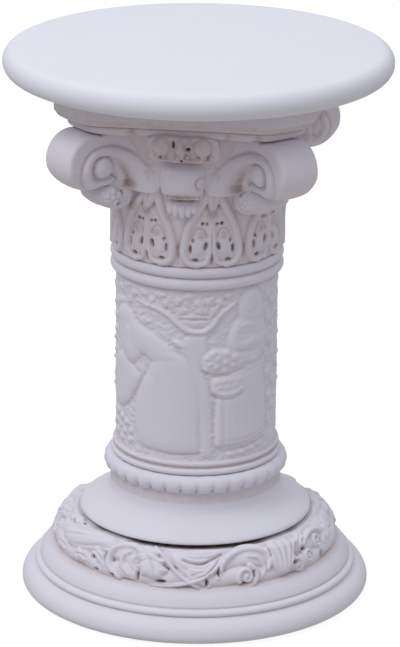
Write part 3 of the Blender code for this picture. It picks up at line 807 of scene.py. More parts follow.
def scroll_body(diagonal, reach, height, outline, wide_at, edge, relief_of, counts):
    """A scrolled slab on a diagonal: two faces round the eye, joined by the band that runs over its rim.

    Columns go round the eye, and rows from one face's middle over the band to the other's. outline gives
    how far the slab reaches from the eye at each angle, and wide_at its half width at each place outward
    of and above the eye. Its corners are quarter circles with the edge's radius.
    """
    around, face_rows, band_rows = counts
    angle = -np.linspace(0, 2 * math.pi, around, endpoint=False)
    rim = outline(angle)
    corner = np.linspace(0, 90, 7)[1:, None] * DEG
    faces = np.linspace(0.02, 1, face_rows)[:, None] * (rim - edge)
    reaches = np.vstack((faces, rim - edge + edge * np.sin(corner)))
    fade = np.vstack((np.ones((face_rows, 1)), np.cos(corner)))
    inset = edge * (1 - fade)
    a = reaches * np.cos(angle)
    b = reaches * np.sin(angle)
    lift, wash_and_shade_tint = relief_of(a, b)
    wide = wide_at(a, b) - inset + lift * fade
    t = np.linspace(-1, 1, band_rows)[1:-1, None]
    bow = 0.0012 * (1 - t**2)
    over = rim + bow
    band = (over * np.cos(angle), over * np.sin(angle), t * wide[-1], np.zeros((len(t), around)))
    left = (a, b, -wide, wash_and_shade_tint * fade)
    right = (a[::-1], b[::-1], wide[::-1], (wash_and_shade_tint * fade)[::-1])
    a, b, side, wash_and_shade_tint = (np.vstack(rows) for rows in zip(left, band, right))
    psi = diagonal * DEG
    out = np.array((math.sin(psi), -math.cos(psi), 0))
    across = np.array((math.cos(psi), math.sin(psi), 0))
    up = np.array((0, 0, 1))
    grid = (reach + a)[..., None] * out + side[..., None] * across + (height + b)[..., None] * up
    return grid, wash_and_shade_tint


def volute_outline(sizes):
    """How far the volute reaches from its eye at each angle.

    Outward it is a circle moved from the eye, and inward the given reach at each bearing: a band at the
    top and a stalk down to the bell. The larger one counts.
    """
    offset = np.array((0.0098, 0.0036))
    apart = np.hypot(*offset)
    lean = math.atan2(offset[1], offset[0])
    bearings = (80, 96, 110, 125, 138, 150, 180, 200, 209, 214, 219, 225, 236, 252, 262, 275)
    reaches = np.array((20, 33.5, 37.4, 43.0, 53, 54, 53, 54, 57, 57, 49, 36, 28.5, 25, 24.0, 20)) * MM

    def reach(angle):
        turned_by = angle - lean
        circle = np.sqrt(sizes.roll_radius**2 - (apart * np.sin(turned_by)) ** 2)
        circle += apart * np.cos(turned_by)
        return np.maximum(circle, np.interp(np.degrees(angle) % 360, bearings, reaches))

    return reach


def draw_volute(sizes):
    """The volute's face: a large domed eye, and a rim that winds round it and runs down to the bell."""

    def field(a, b):
        relief = Relief(a, b)
        relief.height[:] = -0.6 * MM
        relief.pit((-2, -3), (19.5, 19.5), 2.4, wash_and_shade_tint=0.0)
        rim = (
            (-17, -13), (-11, -19.5), (0, -22), (11, -18.5), (17, -9), (17, 2), (10.5, 11.2), (0, 14.0),
            (-12, 13.4), (-23, 9.5), (-32, 2), (-37.5, -10), (-40, -23), (-42, -38),
        )
        relief.ridge(rim, 6.8, 5.6, (
            0.35, 0.72, 0.8, 0.78, 0.62, 0.6, 0.9, 1.05, 1.15, 1.2, 1.2,
        ), level=-2.2)
        outer = (
            (-46, -8), (-40, 6), (-29, 14.5), (-14, 19.5), (0, 20), (12, 16.5), (21.5, 7), (24.5, -6),
            (20.5, -19), (10, -27),
        )
        # The grooves and the hollow beside the stalk get wash with painted shade.
        relief.groove(outer, 1.5, 2.2, (0.5, 1, 1, 0.8, 0.6), wash_and_shade_tint=0.42)
        relief.groove([
            (-20, 3), (-25, -4), (-28.5, -12), (-31, -22),
        ], 3.6, 3.4, (0.3, 0.9, 1, 1), wash_and_shade_tint=0.6)
        relief.wash_and_shade_patch((-29, -22), (9, 10), 0.75)
        gap = np.hypot(a + 2 * MM, b + 2.5 * MM)
        eye = sizes.eye_radius
        domed = np.maximum(relief.height, 8.4 * MM * dome(gap / eye) - 2.6 * MM)
        relief.height = np.where(gap < eye, domed, relief.height)
        # Wash with painted shade in a ring round the eye's edge.
        relief.wash_and_shade_tint = np.maximum(relief.wash_and_shade_tint, 0.5 * np.exp(-(((gap - eye * 1.05) / (1.3 * MM)) ** 2)))
        return relief.height, relief.wash_and_shade_tint

    return field


def corner_scrolls(name, reaches, height, outline, wide_at, edge, relief_of, counts, wash_and_shade):
    """One piece of four scrolls on the diagonals, each at its own reach from the axis."""
    grids, wash_and_shade_fields = [], []
    for k, reach in enumerate(reaches):
        grid, wash_and_shade_tint = scroll_body(45 + 90 * k, reach, height, outline, wide_at, edge, relief_of, counts)
        grids.append(grid)
        # Wash with painted shade all over each scroll, on top of its face's own.
        wash_and_shade_fields.append(np.clip(wash_and_shade_tint + wash_and_shade, 0, 1))
    column_piece(name, grids, wash_and_shade_fields)


def build_volutes(context):
    """Four volutes on the diagonals and a small lower curl under each; the corners are not quite alike."""
    sizes = context.scene.column_capital

    def volute_half(a, b):
        """Half the width: it grows inward with the square of the distance, and shrinks below the eye."""
        flare = 26 * np.maximum(-a - 0.014, 0) ** 2 * (1 - ease(-b, 0.026, 0.050))
        return sizes.roll_half + flare - 0.28 * np.maximum(-b - 0.004, 0) * ease(a, -0.03, -0.005)

    from_axis = [sizes.eye_reach - inward for inward in (0.0, 0.0045, 0.0, 0.0)]
    corner_scrolls(
        "volutes", from_axis, sizes.eye_height, volute_outline(sizes), volute_half, 0.004,
        draw_volute(sizes), (120, 40, 10), 0.13,
    )

    def curl_outline(angle):
        """The curl's reach from its middle: a small circle outward, and the given reach inward."""
        bearings = (50, 90, 120, 150, 180, 210, 240, 270, 310)
        reaches = np.array((12, 13, 19, 27, 29, 26, 18, 12.5, 11)) * MM
        return np.maximum(0.0115, np.interp(np.degrees(angle) % 360, bearings, reaches))

    def curl_half(a, b):
        """Half the width: it grows evenly inward, and is domed outward."""
        return 0.0215 + 0.12 * np.maximum(-a, 0) - 0.0035 * (np.hypot(a, b) / 0.0115) ** 2 * (a > 0)

    def draw_curl(a, b):
        """A floret of five balls round a sixth, with two pits inward of it, painted dark as shadow."""
        relief = Relief(a, b)
        relief.ball((0, 0), (11.0, 11.0), 4.4)
        for turn, size in ((20, 4.4), (95, 4.6), (165, 4.4), (235, 4.0), (305, 4.4)):
            place = (6.4 * math.cos(turn * DEG), 6.4 * math.sin(turn * DEG))
            relief.ball(place, (size, size), 3.2, level=2.8)
        relief.ball((0, 0), (3.4, 3.4), 3.6, level=3.4)
        relief.pit((-7.6, -7.8), (3.4, 2.4), 2.5, wash_and_shade_tint=1.0)
        relief.pit((-12.5, 3), (2.2, 3.4), 1.5, wash_and_shade_tint=0.7)
        return relief.height, relief.wash_and_shade_tint

    from_axis = [sizes.curl_reach - inward for inward in (-0.001, 0.004, -0.003, -0.008)]
    corner_scrolls(
        "lower_curls", from_axis, sizes.curl_height, curl_outline, curl_half, 0.006, draw_curl,
        (76, 24, 8), 0.2,
    )


def side_patch(middle, half_turn, low, high, lift, back, counts):
    """A closed body on one side of the capital: a patch of wall at the given radii, and a back inside."""
    columns, rows = counts
    azimuth = np.linspace(-half_turn, half_turn, columns)[None, :]
    height = np.linspace(low, high, rows)[:, None]
    back_azimuth = np.linspace(half_turn, -half_turn, 8)[None, :]
    reach = np.hstack((lift, np.full((rows, 8), back)))
    azimuth = np.hstack((azimuth, back_azimuth)) + middle
    azimuth, height = np.broadcast_arrays(azimuth * DEG, height)
    return np.stack((reach * np.sin(azimuth), -reach * np.cos(azimuth), height), axis=-1)


def build_side_ornament(context):
    """On each side a flower box under the abacus, a smooth cushion below it and a leaf fringe below that.

    A patch stands out from its edge's radius to its own radius and relief, by its shape's share.
    """
    parts = {
        "flower_boxes": (1.5, 17.6, 0.5050, 0.5395, 0.1270, 0.105, 0.096, draw_box, (108, 62)),
        "cushions": (0.0, 15.0, 0.4620, 0.5060, 0.1185, 0.094, 0.085, draw_cushion, (80, 60)),
        "leaf_fringes": (-0.6, 11.2, 0.4390, 0.4600, 0.0990, 0.0893, 0.080, draw_fringe, (76, 42)),
    }
    for name, (shift, half_turn, low, high, radius, edge_radius, back, draw, counts) in parts.items():
        x = np.linspace(-half_turn, half_turn, counts[0]) * DEG * radius
        relief = Relief(x, np.linspace(low, high, counts[1]), (DEG * radius, MM))
        shape = draw(relief)
        relief.soften(0.4)
        # Wash with painted shade in the hollows, and a little all over.
        wash_and_shade = np.clip(relief.wash_and_shade(3.0, 2.4) + 0.12, 0, 1)
        lift = edge_radius + (radius - edge_radius + relief.height) * shape
        grids, wash_and_shade_fields = [], []
        for k in range(SIDES):
            grids.append(side_patch(90 * k + shift, half_turn, low, high, lift, back, counts))
            wash_and_shade_fields.append(np.hstack((wash_and_shade, np.zeros((counts[1], 8)))))
        column_piece(name, grids, wash_and_shade_fields)


def patch_places(relief):
    """Where each point lies on a patch: from -1 to 1 across it, and from 0 to 1 up it."""
    u = (relief.x / relief.x.max())[None, :]
    v = ((relief.y - relief.y.min()) / (relief.y.max() - relief.y.min()))[:, None]
    return u, v


def draw_box(relief):
    """Two round lobes with a leaf and deep holes between them, over three small curls; scalloped edges."""
    for middle in (-9.6, 9.6):
        relief.ball((middle, 525.5), (9.4, 9.6), 6.4)
        turns = np.linspace(1.9, 6.0, 12)
        ring = [(middle + 2.6 * math.cos(t), 525.5 + 5.6 * math.sin(t)) for t in turns]
        relief.groove(ring, 1.2, 0.9, (0.3, 1, 0.3), wash_and_shade_tint=0.15)
    relief.ball((12.0, 524), (1.6, 2.2), 4.4)
    relief.leaf([(0.2, 513), (-0.6, 523), (-0.8, 535)], 4.6, 4.6, 2)
    relief.ridge([(3.6, 518), (2.6, 526), (4.4, 535)], 2.0, 3.4, (0.6, 1, 0.5))
    for middle, wide in ((-6.6, 4.8), (4.6, 4.8), (11.6, 2.2)):
        turns = np.linspace(2.6, 6.6, 12)
        curl = [(middle + wide * math.cos(t), 514.6 + 4.2 * math.sin(t)) for t in turns]
        relief.ridge(curl, 2.4, 4.8, (0.7, 1, 0.7))
        relief.ball((middle - 0.4 * wide, 515.2), (2.0, 1.9), 4.2)
    # Deep holes painted dark inside as shadow, and wash with painted shade over the whole box.
    for place, size in (
        ((-4.0, 528.0), (1.7, 4.0)), ((2.9, 524), (2.2, 2.2)), ((-5.4, 508.2), (4.6, 1.5)),
        ((6.4, 508.6), (4.4, 1.5)), ((0, 511.4), (1.4, 1.8)), ((12.4, 509.6), (2.2, 1.4)),
    ):
        relief.pit(place, size, 5.0)
    relief.wash_and_shade_patch((0, 522), (60, 40), 0.42)
    edge = Relief(relief.x, relief.y, relief.unit)
    edge.mass([
        (-17.5, 512), (-12, 507), (-6.5, 509.5), (-2, 506.8), (3, 509), (7.5, 506.8), (12, 509.4),
        (16.6, 508.5), (18.8, 516), (18.6, 527), (16, 535.5), (9, 538.6), (3, 537.2), (-3, 538.4),
        (-10, 538.6), (-16, 535.5), (-18.4, 527), (-16.8, 519),
    ], 1.0, 3.4)
    return edge.height / MM


def draw_cushion(relief):
    """A smooth swelling: faint ribs at its left, a small boss at its right and a stitched lower edge."""
    for place in (-11.5, -8, -4.5):
        relief.groove([(place, 474), (place - 0.4, 486), (place, 498)], 1.3, 0.35)
    relief.ball((11.0, 483.5), (5.0, 6.0), 4.0)
    crescent = [(10.8 + 2.9 * math.cos(t), 483.5 + 6.6 * math.sin(t)) for t in np.linspace(1.6, 4.9, 10)]
    relief.groove(crescent, 1.2, 1.4, (0.4, 1, 0.5), wash_and_shade_tint=0.3)
    # The stitched lower edge: pits and a band of painted shade under the cushion, with the wash.
    for place in range(-11, 13, 3):
        relief.pit((place, 467.0), (2.2, 1.3), 2.6, wash_and_shade_tint=0.45)
    relief.wash_and_shade_patch((0, 468.5), (30, 5), 0.65)
    u, v = patch_places(relief)
    wide = 1 - 0.2 * (1 - v) ** 2
    across = np.clip(1 - np.abs(u / wide) ** 3, 0, 1)
    return across**0.5 * np.clip(1 - np.abs(2 * v - 1) ** 2.6, 0, 1) ** 0.5


def draw_fringe(relief):
    """A row of hanging leaf tips, the middle ones longest."""
    for place, low in ((-7.4, 445.0), (-3.8, 442.4), (0.2, 441.4), (4.2, 442.2), (7.8, 445.0)):
        relief.ball((place, low + 7), (3.6, 7.2), 1.9)
    # Grooves between the tips, with wash and painted shade.
    for place in (-5.6, -1.8, 2.2, 6.0):
        relief.groove([(place, 453), (place, 442)], 0.8, 0.8, (0.2, 1, 1), wash_and_shade_tint=0.35)
    u, v = patch_places(relief)
    bottom = 0.10 + 0.42 * np.abs(u) ** 2.2 + 0.06 * np.cos((u * 10.6 - 2.2) * math.pi / 2)
    sides = np.clip(1 - np.abs(u) ** 8, 0, 1) ** 0.5
    return ease(v, bottom - 0.10, bottom + 0.12) * sides * np.clip(1.02 - v**6, 0, 1) ** 0.5


# The drum


def draw_harvest(relief):
    """Two country figures at a fruit tree: the left one bends over a sack, the right one holds a basket."""

    def leaf(a, z, turn, size=1.0, height=2.6):
        """A small leaf with two lobes, turned from level."""
        c, s = 4.2 * size * math.cos(turn * DEG), 6.0 * size * math.sin(turn * DEG)
        relief.leaf([(a - c, z - s), (a, z + 0.8), (a + c, z + s)], 3.6 * size, height, 2, depth=0.2)

    # Foliage under the neck
    for a, z, turn in (
        (-40, 347, 15), (-31, 351, -12), (-24, 344, 35), (-17, 352, 5), (-12, 341, -30), (-4, 346, 40),
        (4, 353, 12), (10, 344, -35), (18, 348, 30), (26, 345, -20), (32, 353, 25), (-49, 353, 12),
        (-58, 347, -25), (-66, 354, 15), (-1, 336, 12), (13, 336, -20), (22, 338, 50), (-44, 339, 40),
        (-72, 344, -10),
    ):
        leaf(a, z, turn)
    # Gaps among the leaves painted dark as shadow, and wash with painted shade over the foliage.
    for a, z, size, turn in (
        (-12.5, 338, (3.4, 1.5), 35), (-7.5, 334, (3.0, 1.4), 20), (-2, 341, (1.5, 3.0), -20),
        (6, 346.5, (3.8, 1.4), 30), (17, 353, (3.2, 1.5), 0), (14.5, 345, (1.5, 3.2), 0),
        (21.5, 343, (3.0, 1.4), 30), (29, 349, (2.4, 1.6), 0), (-34, 333.5, (3.6, 1.5), -15),
        (-29, 343, (1.6, 2.4), 20), (-20, 348, (2.6, 1.5), 0), (-25, 338, (2.2, 1.2), 0),
        (-41, 341, (1.6, 2.4), 0), (6, 337, (1.4, 2.4), 15), (-54, 341, (2.4, 1.6), 0),
    ):
        relief.pit((a, z), size, 0.5, turn, 0.7)

    relief.wash_and_shade_patch((-6, 343), (38, 13), 0.3)
    relief.wash_and_shade_patch((14, 334), (24, 14), 0.25)

    # Tree: a bough to each side in one round sweep, a bowl of leaves in its fork, and the trunk below
    relief.mass([
        (-2, 300), (1, 308), (9, 312), (16, 309), (17, 296), (14, 280), (15, 262), (19, 244), (21, 215),
        (22, 178), (12, 178), (10, 215), (6, 240), (0, 262), (-3, 282),
    ], 2.3, 10)
    relief.ball((-2.5, 300), (9.0, 3.6), 3.4, turn=-28)
    relief.mass([(-3, 327), (2, 320.5), (8, 318), (14, 320), (19, 327)], 1.7, 5)
    relief.ridge([(-4, 329.5), (3, 330.5), (11, 330.5), (19, 329.5)], 1.7, 2.4, (0.5, 1, 0.5))
    # Painted shade under the bowl's rim, with the wash.
    relief.groove([(-2, 327), (7, 327.6), (17, 327)], 0.9, 0.9, wash_and_shade_tint=0.45)
    relief.wash_and_shade_patch((7, 324), (16, 7), 0.3)
    relief.ridge([
        (-36, 341), (-29, 338.5), (-20, 337), (-11, 331.5), (-4, 322.5), (2, 316.5), (9, 314.2),
        (15, 315.5), (20, 321), (24.5, 330), (30, 337.5), (37, 344),
    ], 3.1, 3.6, (0.45, 0.8, 1, 1.05, 1, 0.8, 0.5))
    relief.groove([(-17, 329), (-10, 322.5), (-3, 314), (3, 309.5)], 1.3, 1.0, (0.3, 1, 0.5), wash_and_shade_tint=0.2)
    relief.ridge([(-33, 329), (-35, 323), (-31, 318.5), (-26, 321)], 1.8, 1.9)
    relief.ball((-30.5, 322.5), (3.2, 2.6), 2.6)
    relief.pit((-37, 319), (2.6, 1.4), 0.5, -30, 0.3)

    # Bending figure: skirt, back, sleeve and covered head
    relief.mass([
        (-22, 286), (-12, 291), (-2, 288), (5, 277), (9.5, 260), (11.5, 240), (12, 210), (12, 182),
        (0, 177.5), (-20, 178), (-34, 182), (-38.5, 200), (-39.5, 220), (-36, 240), (-31, 256), (-26, 268),
    ], 4.2, 15)
    relief.mass([
        (-60, 300), (-62, 316), (-60, 326), (-52, 331), (-44, 327), (-38.5, 318), (-30, 312.5),
        (-21, 307), (-12, 298.5), (-3, 288), (0, 280), (-10, 276), (-22, 276), (-30, 283), (-36, 276),
        (-44, 268), (-52, 276), (-57, 288),
    ], 4.7, 14)
    relief.ball((-53, 319), (9.5, 10.5), 5.6, turn=30)
    relief.groove([(-47, 329), (-44.0, 320), (-46, 310), (-52, 303)], 2.0, 0.6, (0.3, 1, 0.3))
    relief.ridge([(-45, 305), (-44, 291), (-41, 279), (-37, 268)], 6.2, 1.3, (0.8, 1, 0.7), on=True)
    relief.groove([(-34, 298), (-35, 288), (-31, 279)], 1.6, 0.9, (0.2, 1, 0.6))
    relief.groove([(-19, 287), (-12, 291.5), (-3, 289.5), (4, 280), (9, 264)], 1.5, 0.75, (0.3, 1, 0.2))
    relief.groove([(-11, 302), (-4, 294), (3, 285), (8, 272)], 1.8, 0.9, (0.4, 1, 0.2))
    relief.groove([(-30, 262), (-24, 262), (-18, 256), (-15, 240)], 2.2, 0.5, (0.3, 1, 0.2))
    relief.groove([(-4, 262), (0, 240), (1, 210), (1, 190)], 3.0, 0.45, (0.2, 1, 0.5))
    for a in (-24, -15, -7, 5, 9):
        relief.groove([(a, 224), (a + 1, 202), (a + 1.5, 182)], 1.6, 0.45, (0.1, 0.6, 1))
    relief.groove([(11.6, 246), (11.4, 215), (11.4, 184)], 1.3, 0.8, (0.2, 1, 1))
    relief.groove([(-22, 179), (-8, 177), (12, 178.5)], 1.2, 1.5, (0.5, 1, 0.8), wash_and_shade_tint=0.3)

    # Sack under the sleeve, with bumps and grass beside it
    relief.mass([
        (-64, 272), (-53, 277), (-44, 271), (-37, 262), (-34.5, 252), (-38, 240), (-43, 228),
        (-50, 218.5), (-58, 214), (-67, 218), (-71, 235), (-70, 256),
    ], 4.0, 13)
    # Painted shade along the sack's lower edge, with the wash.
    relief.groove([
        (-27, 270), (-32, 256), (-38, 240), (-44, 226.5), (-53, 216), (-64, 212),
    ], 1.5, 1.5, (0.8, 1, 0.5), wash_and_shade_tint=0.35)
    relief.groove([(-60, 262), (-55, 250), (-54, 238)], 2.0, 0.5, (0.2, 1, 0.2))
    relief.pit((-29, 271), (2.8, 7.0), 0.5, 15, 0.4)
    for a, z, size in (
        (-69, 296, 5), (-73, 284, 4), (-70, 272, 4.6), (-74, 262, 4), (-72, 244, 4.2), (-74, 232, 4),
        (-62, 330, 5.5), (-70, 326, 4.5), (-68, 312, 5), (-56, 334, 4.4), (-64, 206, 5), (-56, 203, 4.4),
        (-60, 194, 5), (-50, 199, 4.6), (-68, 194, 4.4), (-52, 188, 4.6), (-44, 191, 4.2), (-64, 184, 5),
        (-45, 181, 4.4), (-56, 180, 4.6),
    ):
        relief.ball((a, z), (size, size * 0.8), 2.9, turn=7 * a)
    for a, z in (
        (-60, 200), (-55, 196), (-48, 194), (-58, 188), (-49, 184), (-66, 200), (-67, 302), (-71, 278),
        (-66, 320),
    ):
        relief.pit((a, z), (1.5, 1.2), 0.5, wash_and_shade_tint=0.3)

    # Standing figure: skirt, bodice, covered head and folded arms
    relief.mass([
        (31, 282), (40, 276), (58, 276), (63, 262), (65, 240), (66.5, 215), (67, 190), (58, 185.5),
        (44, 183), (30, 184), (22, 188), (22, 215), (23.5, 240), (27, 262),
    ], 4.0, 14)
    relief.mass([
        (39, 327), (33, 315), (30, 299), (31, 283), (42, 274), (56, 274), (64, 284), (65, 302),
        (62.5, 319), (55, 331), (46, 334),
    ], 4.6, 13)
    relief.mass([
        (40, 326), (39, 338), (41.5, 350), (47, 357), (53, 357), (59, 350), (62, 338), (62, 326),
        (56, 318), (46, 318),
    ], 5.6, 11)
    relief.ball((47.4, 341.5), (4.6, 7.4), 6.0)
    relief.groove([
        (43.5, 350), (42.4, 342), (44, 334), (48.5, 331.5), (53, 336), (53.6, 344), (51, 351),
    ], 1.1, 0.9)
    relief.groove([(42, 328), (46, 325), (52, 325)], 1.3, 0.6, (0.3, 1, 0.3))
    relief.ridge([(37, 320), (35, 306), (39, 297), (48, 298)], 5.6, 1.5, (0.8, 1, 0.8), on=True)
    relief.ridge([(62, 318), (62, 306), (57, 299), (50, 301)], 5.4, 1.3, (0.8, 1, 0.8), on=True)
    relief.ridge([(40, 317), (46, 319), (52, 316)], 3.0, 1.0, (0.6, 1, 0.6), on=True)
    relief.groove([(38, 311), (45, 309), (53, 310.5)], 1.4, 0.8, (0.5, 1, 0.5))
    relief.groove([(40, 291), (49, 288), (60, 291)], 2.0, 1.3, (0.6, 1, 0.6), wash_and_shade_tint=0.2)
    relief.ball((51, 279.5), (8.0, 6.2), 5.6, turn=-8)
    relief.groove([(42, 269), (50, 266.5), (58, 270)], 1.4, 1.2, (0.5, 1, 0.5), wash_and_shade_tint=0.3)
    relief.groove([(60, 285), (66, 275), (70, 268)], 1.6, 1.4)

    # Fruit heap and bowl
    relief.mass([
        (14, 271), (12.5, 283), (17, 292.5), (25, 295), (35, 294), (42, 288), (44.5, 278), (42, 268),
        (30, 264), (20, 265),
    ], 4.0, 6)
    for a, z, size in (
        (16, 286, 3.5), (21, 292, 4.6), (18.5, 279, 3.0), (24, 284.5, 3.4), (30, 290, 4.6),
        (36.5, 285, 5.6), (29.5, 279.5, 3.2), (22.5, 275, 4.2), (35, 275.5, 3.6), (15, 273.5, 2.6),
        (41, 279, 3.0), (29, 271, 3.0),
    ):
        relief.ball((a, z), (size, 0.72 * size), 1.7, turn=9 * a + 2 * z, on=True)
    # Painted shade under the fruit heap and over it, with the wash.
    relief.groove([(13.5, 270), (21, 267.2), (31, 267), (43, 271.5)], 1.2, 1.8, wash_and_shade_tint=0.75)
    relief.wash_and_shade_patch((29, 275), (25, 9), 0.4)
    relief.mass([
        (19.5, 263), (28, 265), (40, 266.5), (45, 262), (43, 250), (38, 242), (30, 240), (23.5, 242.5),
        (19.5, 251),
    ], 4.5, 4.5)
    for a, z in ((23, 258), (28, 259), (33.5, 259.5), (39, 260), (25, 252.5), (30.5, 253), (36, 254)):
        relief.ball((a, z), (3.4, 2.6), 1.0, on=True, turn=20)
    relief.ridge([(20.5, 249), (26, 245), (34, 244.6), (42, 249.5)], 1.9, 1.3, on=True)
    # Painted shade under the basket, with the wash.
    relief.groove([(21, 242.5), (27, 239.2), (35, 239), (43, 243.5)], 1.3, 1.9, wash_and_shade_tint=0.5)

    # Skirt folds and hems
    relief.ridge([(25.5, 240), (25, 215), (25, 187)], 3.0, 1.1, (0.5, 1, 1), on=True)
    relief.groove([(29, 238), (28.8, 214), (29, 187)], 1.6, 1.1, (0.3, 1, 1))
    relief.groove([(21.6, 236), (20.6, 214), (20.6, 186)], 1.4, 1.0, (0.3, 1, 1))
    for a in (34, 40, 47, 54, 60):
        relief.groove([(a, 236), (a - 0.5, 214), (a, 197)], 1.7, 0.4, (0.2, 1, 0.6))
    relief.groove([(30, 191), (44, 191.5), (66, 197)], 1.0, 1.3, (0.3, 1, 1), wash_and_shade_tint=0.2)
    relief.groove([(20, 185), (40, 185.5), (66, 191.5)], 1.1, 1.5, (0.8, 1, 1), wash_and_shade_tint=0.25)
    relief.groove([(26, 179.5), (44, 180), (64, 184)], 1.1, 1.4, (0.4, 1, 0.8), wash_and_shade_tint=0.25)
    for a, z in ((34, 175.5), (43, 176), (52, 177.5), (60, 180)):
        relief.ball((a, z), (6.0, 3.0), 2.4)

    # Leaves at the right
    for a, z, turn in (
        (69, 345, 60), (75, 333, -50), (70, 318, 70), (77, 305, 40), (71, 291, -60), (77, 276, 70),
        (70, 256, 50), (77, 244, -60), (71, 230, 60), (77, 216, 40), (71, 203, 80), (78, 354, 10),
        (84, 320, 60), (84, 262, -50), (84, 225, 60),
    ):
        leaf(a, z, turn, 1.15, 3.4)
    for a, z in ((70, 335), (74, 308), (68, 268), (73, 250), (70, 238), (73, 222), (75, 323), (72, 282)):
        relief.pit((a, z), (2.2, 3.4), 0.5, 30, 0.5)


def build_drum(context):
    """The drum: a plain turned wall with the harvest scene on its front and again on its back.

    Where the relief is low, blurred random numbers give the ground its grain.
    """
    sizes = context.scene.column_drum
    columns, rows = 432, 204
    scale = sizes.radius * DEG
    azimuth = np.linspace(-180, 180, columns, endpoint=False)
    y = np.linspace(sizes.low, sizes.high, rows)
    relief = Relief(azimuth * scale, y, (scale, MM), wraps=True)
    for turn in (0, 180):
        relief.origin[0] = turn
        draw_harvest(relief)
    relief.soften(0.8)
    relief.height *= 0.92
    # Wash with painted shade in the hollows of the relief.
    wash_and_shade = relief.wash_and_shade(3.5, 2.6) * 0.6
    chance = np.random.default_rng(4)
    grain = relief.blurred(chance.normal(0, 1, relief.height.shape), 1.1 * MM)
    relief.height += 0.00032 * grain / grain.std() * (1 - ease(relief.height, 0.0008, 0.0018))
    relief.height += 0.0003 * unevenness(columns, rows, 11, 12)
    # Painted shade in a band at the drum's top, under the neck rings.
    wash_and_shade += 0.25 * np.exp(-(((y - sizes.high) / 0.004) ** 2))[:, None]
    ends = ease(y, sizes.low, sizes.low + 0.004) * (1 - ease(y, sizes.high - 0.003, sizes.high))
    profile = np.stack((np.full(rows, sizes.radius), y), axis=1)
    grid = turned(profile, columns, relief.height * ends[:, None])
    column_piece("drum", [grid], [np.clip(wash_and_shade, 0, 1)])

    # The neck rings: two round ones that touch
    inner = sizes.ring_reach - 0.006
    thick = 0.0062
    profile = np.vstack((
        ((0.02, 0.3591), (0.08, 0.3591)),
        line((0.0856, 0.3591), (inner - 0.0008, 0.3598), 2),
        arc((inner, 0.3664), thick, -84, 78, 15),
        arc((inner, 0.3795), thick, -78, 84, 15),
        ((0.0862, 0.3866), (0.08, 0.3866), (0.02, 0.3866)),
    ))
    grid = turned(profile, 256)
    # Wash with painted shade under the rings, in the crease between them and on top where the bell sits.
    wash_and_shade = even_wash_and_shade(grid)
    wash_and_shade[16:22] = ((0.15,), (0.3,), (0.4,), (0.4,), (0.3,), (0.15,))
    wash_and_shade[:6] = 0.55
    wash_and_shade[-6:] = 0.6
    column_piece("neck_rings", [grid], [wash_and_shade])


def build_rope(context):
    """The rope: a ring with a row of soft round lumps along its lower half, and a bead and fillet above it.

    The ring is thinner where the sine of its slanting turns is near 0, most of all below its middle.
    """
    sizes = context.scene.column_drum
    columns, rows = 640, 28
    turn = np.linspace(0, 2 * math.pi, columns, endpoint=False)[None, :]
    tube = np.linspace(-math.pi, math.pi, rows, endpoint=False)[:, None]
    lump = np.abs(np.sin(17.5 * (turn - math.pi) - 0.22 * tube))
    shown = 0.1 + 0.9 * np.exp(-(((tube + 0.6) / 0.75) ** 2))
    half = sizes.rope_half - 0.0036 * shown * (1 - lump**0.7)
    radius = sizes.rope_radius + half * np.cos(tube)
    height = sizes.rope_height + half * np.sin(tube)
    azimuth, radius, height = np.broadcast_arrays(turn - math.pi, radius, height)
    grid = np.stack((radius * np.sin(azimuth), -radius * np.cos(azimuth), height), axis=-1)
    # Wash with painted shade between the lumps on the rope's lower side.
    wash_and_shade = np.clip(1 - lump * 2.2, 0, 1) * np.exp(-(((tube + 0.95) / 0.5) ** 2)) * 0.95
    column_piece("rope_ring", [grid], [wash_and_shade])

    profile = np.vstack((
        ((0.02, 0.1525), (0.08, 0.1525), (0.0872, 0.1535)),
        arc((0.0882, 0.1582), 0.0034, -80, 80, 11),
        ((0.0872, 0.1622),),
        arc((0.0864, 0.1668), 0.0030, -70, 75, 11),
        ((0.0858, 0.1702), (0.0835, 0.1706), (0.02, 0.1706)),
    ))
    grid = turned(profile, 256)
    # Wash with painted shade in the grooves below, between and above the bead and the fillet.
    wash_and_shade = even_wash_and_shade(grid)
    wash_and_shade[2:5] = 0.6
    wash_and_shade[13:16] = 0.6
    wash_and_shade[-5:-2] = 0.4
    column_piece("drum_bead", [grid], [wash_and_shade])


# The foot


def build_cap(context):
    """The cap: a low dome from a rolled edge up to the waist under the rope, and slightly uneven."""
    low = context.scene.column_foot.cap_low
    given = np.array((
        (125.2, 91.2), (124.6, 92.8), (122.4, 95.0), (118.6, 97.4), (112, 100.8), (104, 105.0),
        (98.0, 109.4), (94.2, 114), (92.4, 120), (91.6, 128), (91.0, 135),
    )) * MM
    roll = np.array(((112.0, 88.7), (119.5, 88.8), (123.2, 89.1), (124.8, 90.0), (125.2, 91.2))) * MM
    profile = np.vstack((
        line((0.01, low), (0.112, low), 6),
        flowing(roll, 6)[:-1],
        evenly(flowing(given), 40),
        np.linspace((0.089, 0.1385), (0.01, 0.1385), 5),
    ))
    columns = 256
    lift = 0.00022 * unevenness(columns, len(profile), 8) * ease(profile[:, 1], 0.09, 0.10)[:, None]
    grid = turned(profile, columns, lift)
    # Painted shadow under the rolled edge, fading up the dome, and painted shade at the waist under the
    # rope.
    wash_and_shade = even_wash_and_shade(grid)
    wash_and_shade[:22] = 1.0
    wash_and_shade[22:31] = np.linspace(1, 0, 9)[:, None]
    wash_and_shade[-13:-6] = 0.35
    column_piece("foot_cap", [grid], [wash_and_shade])


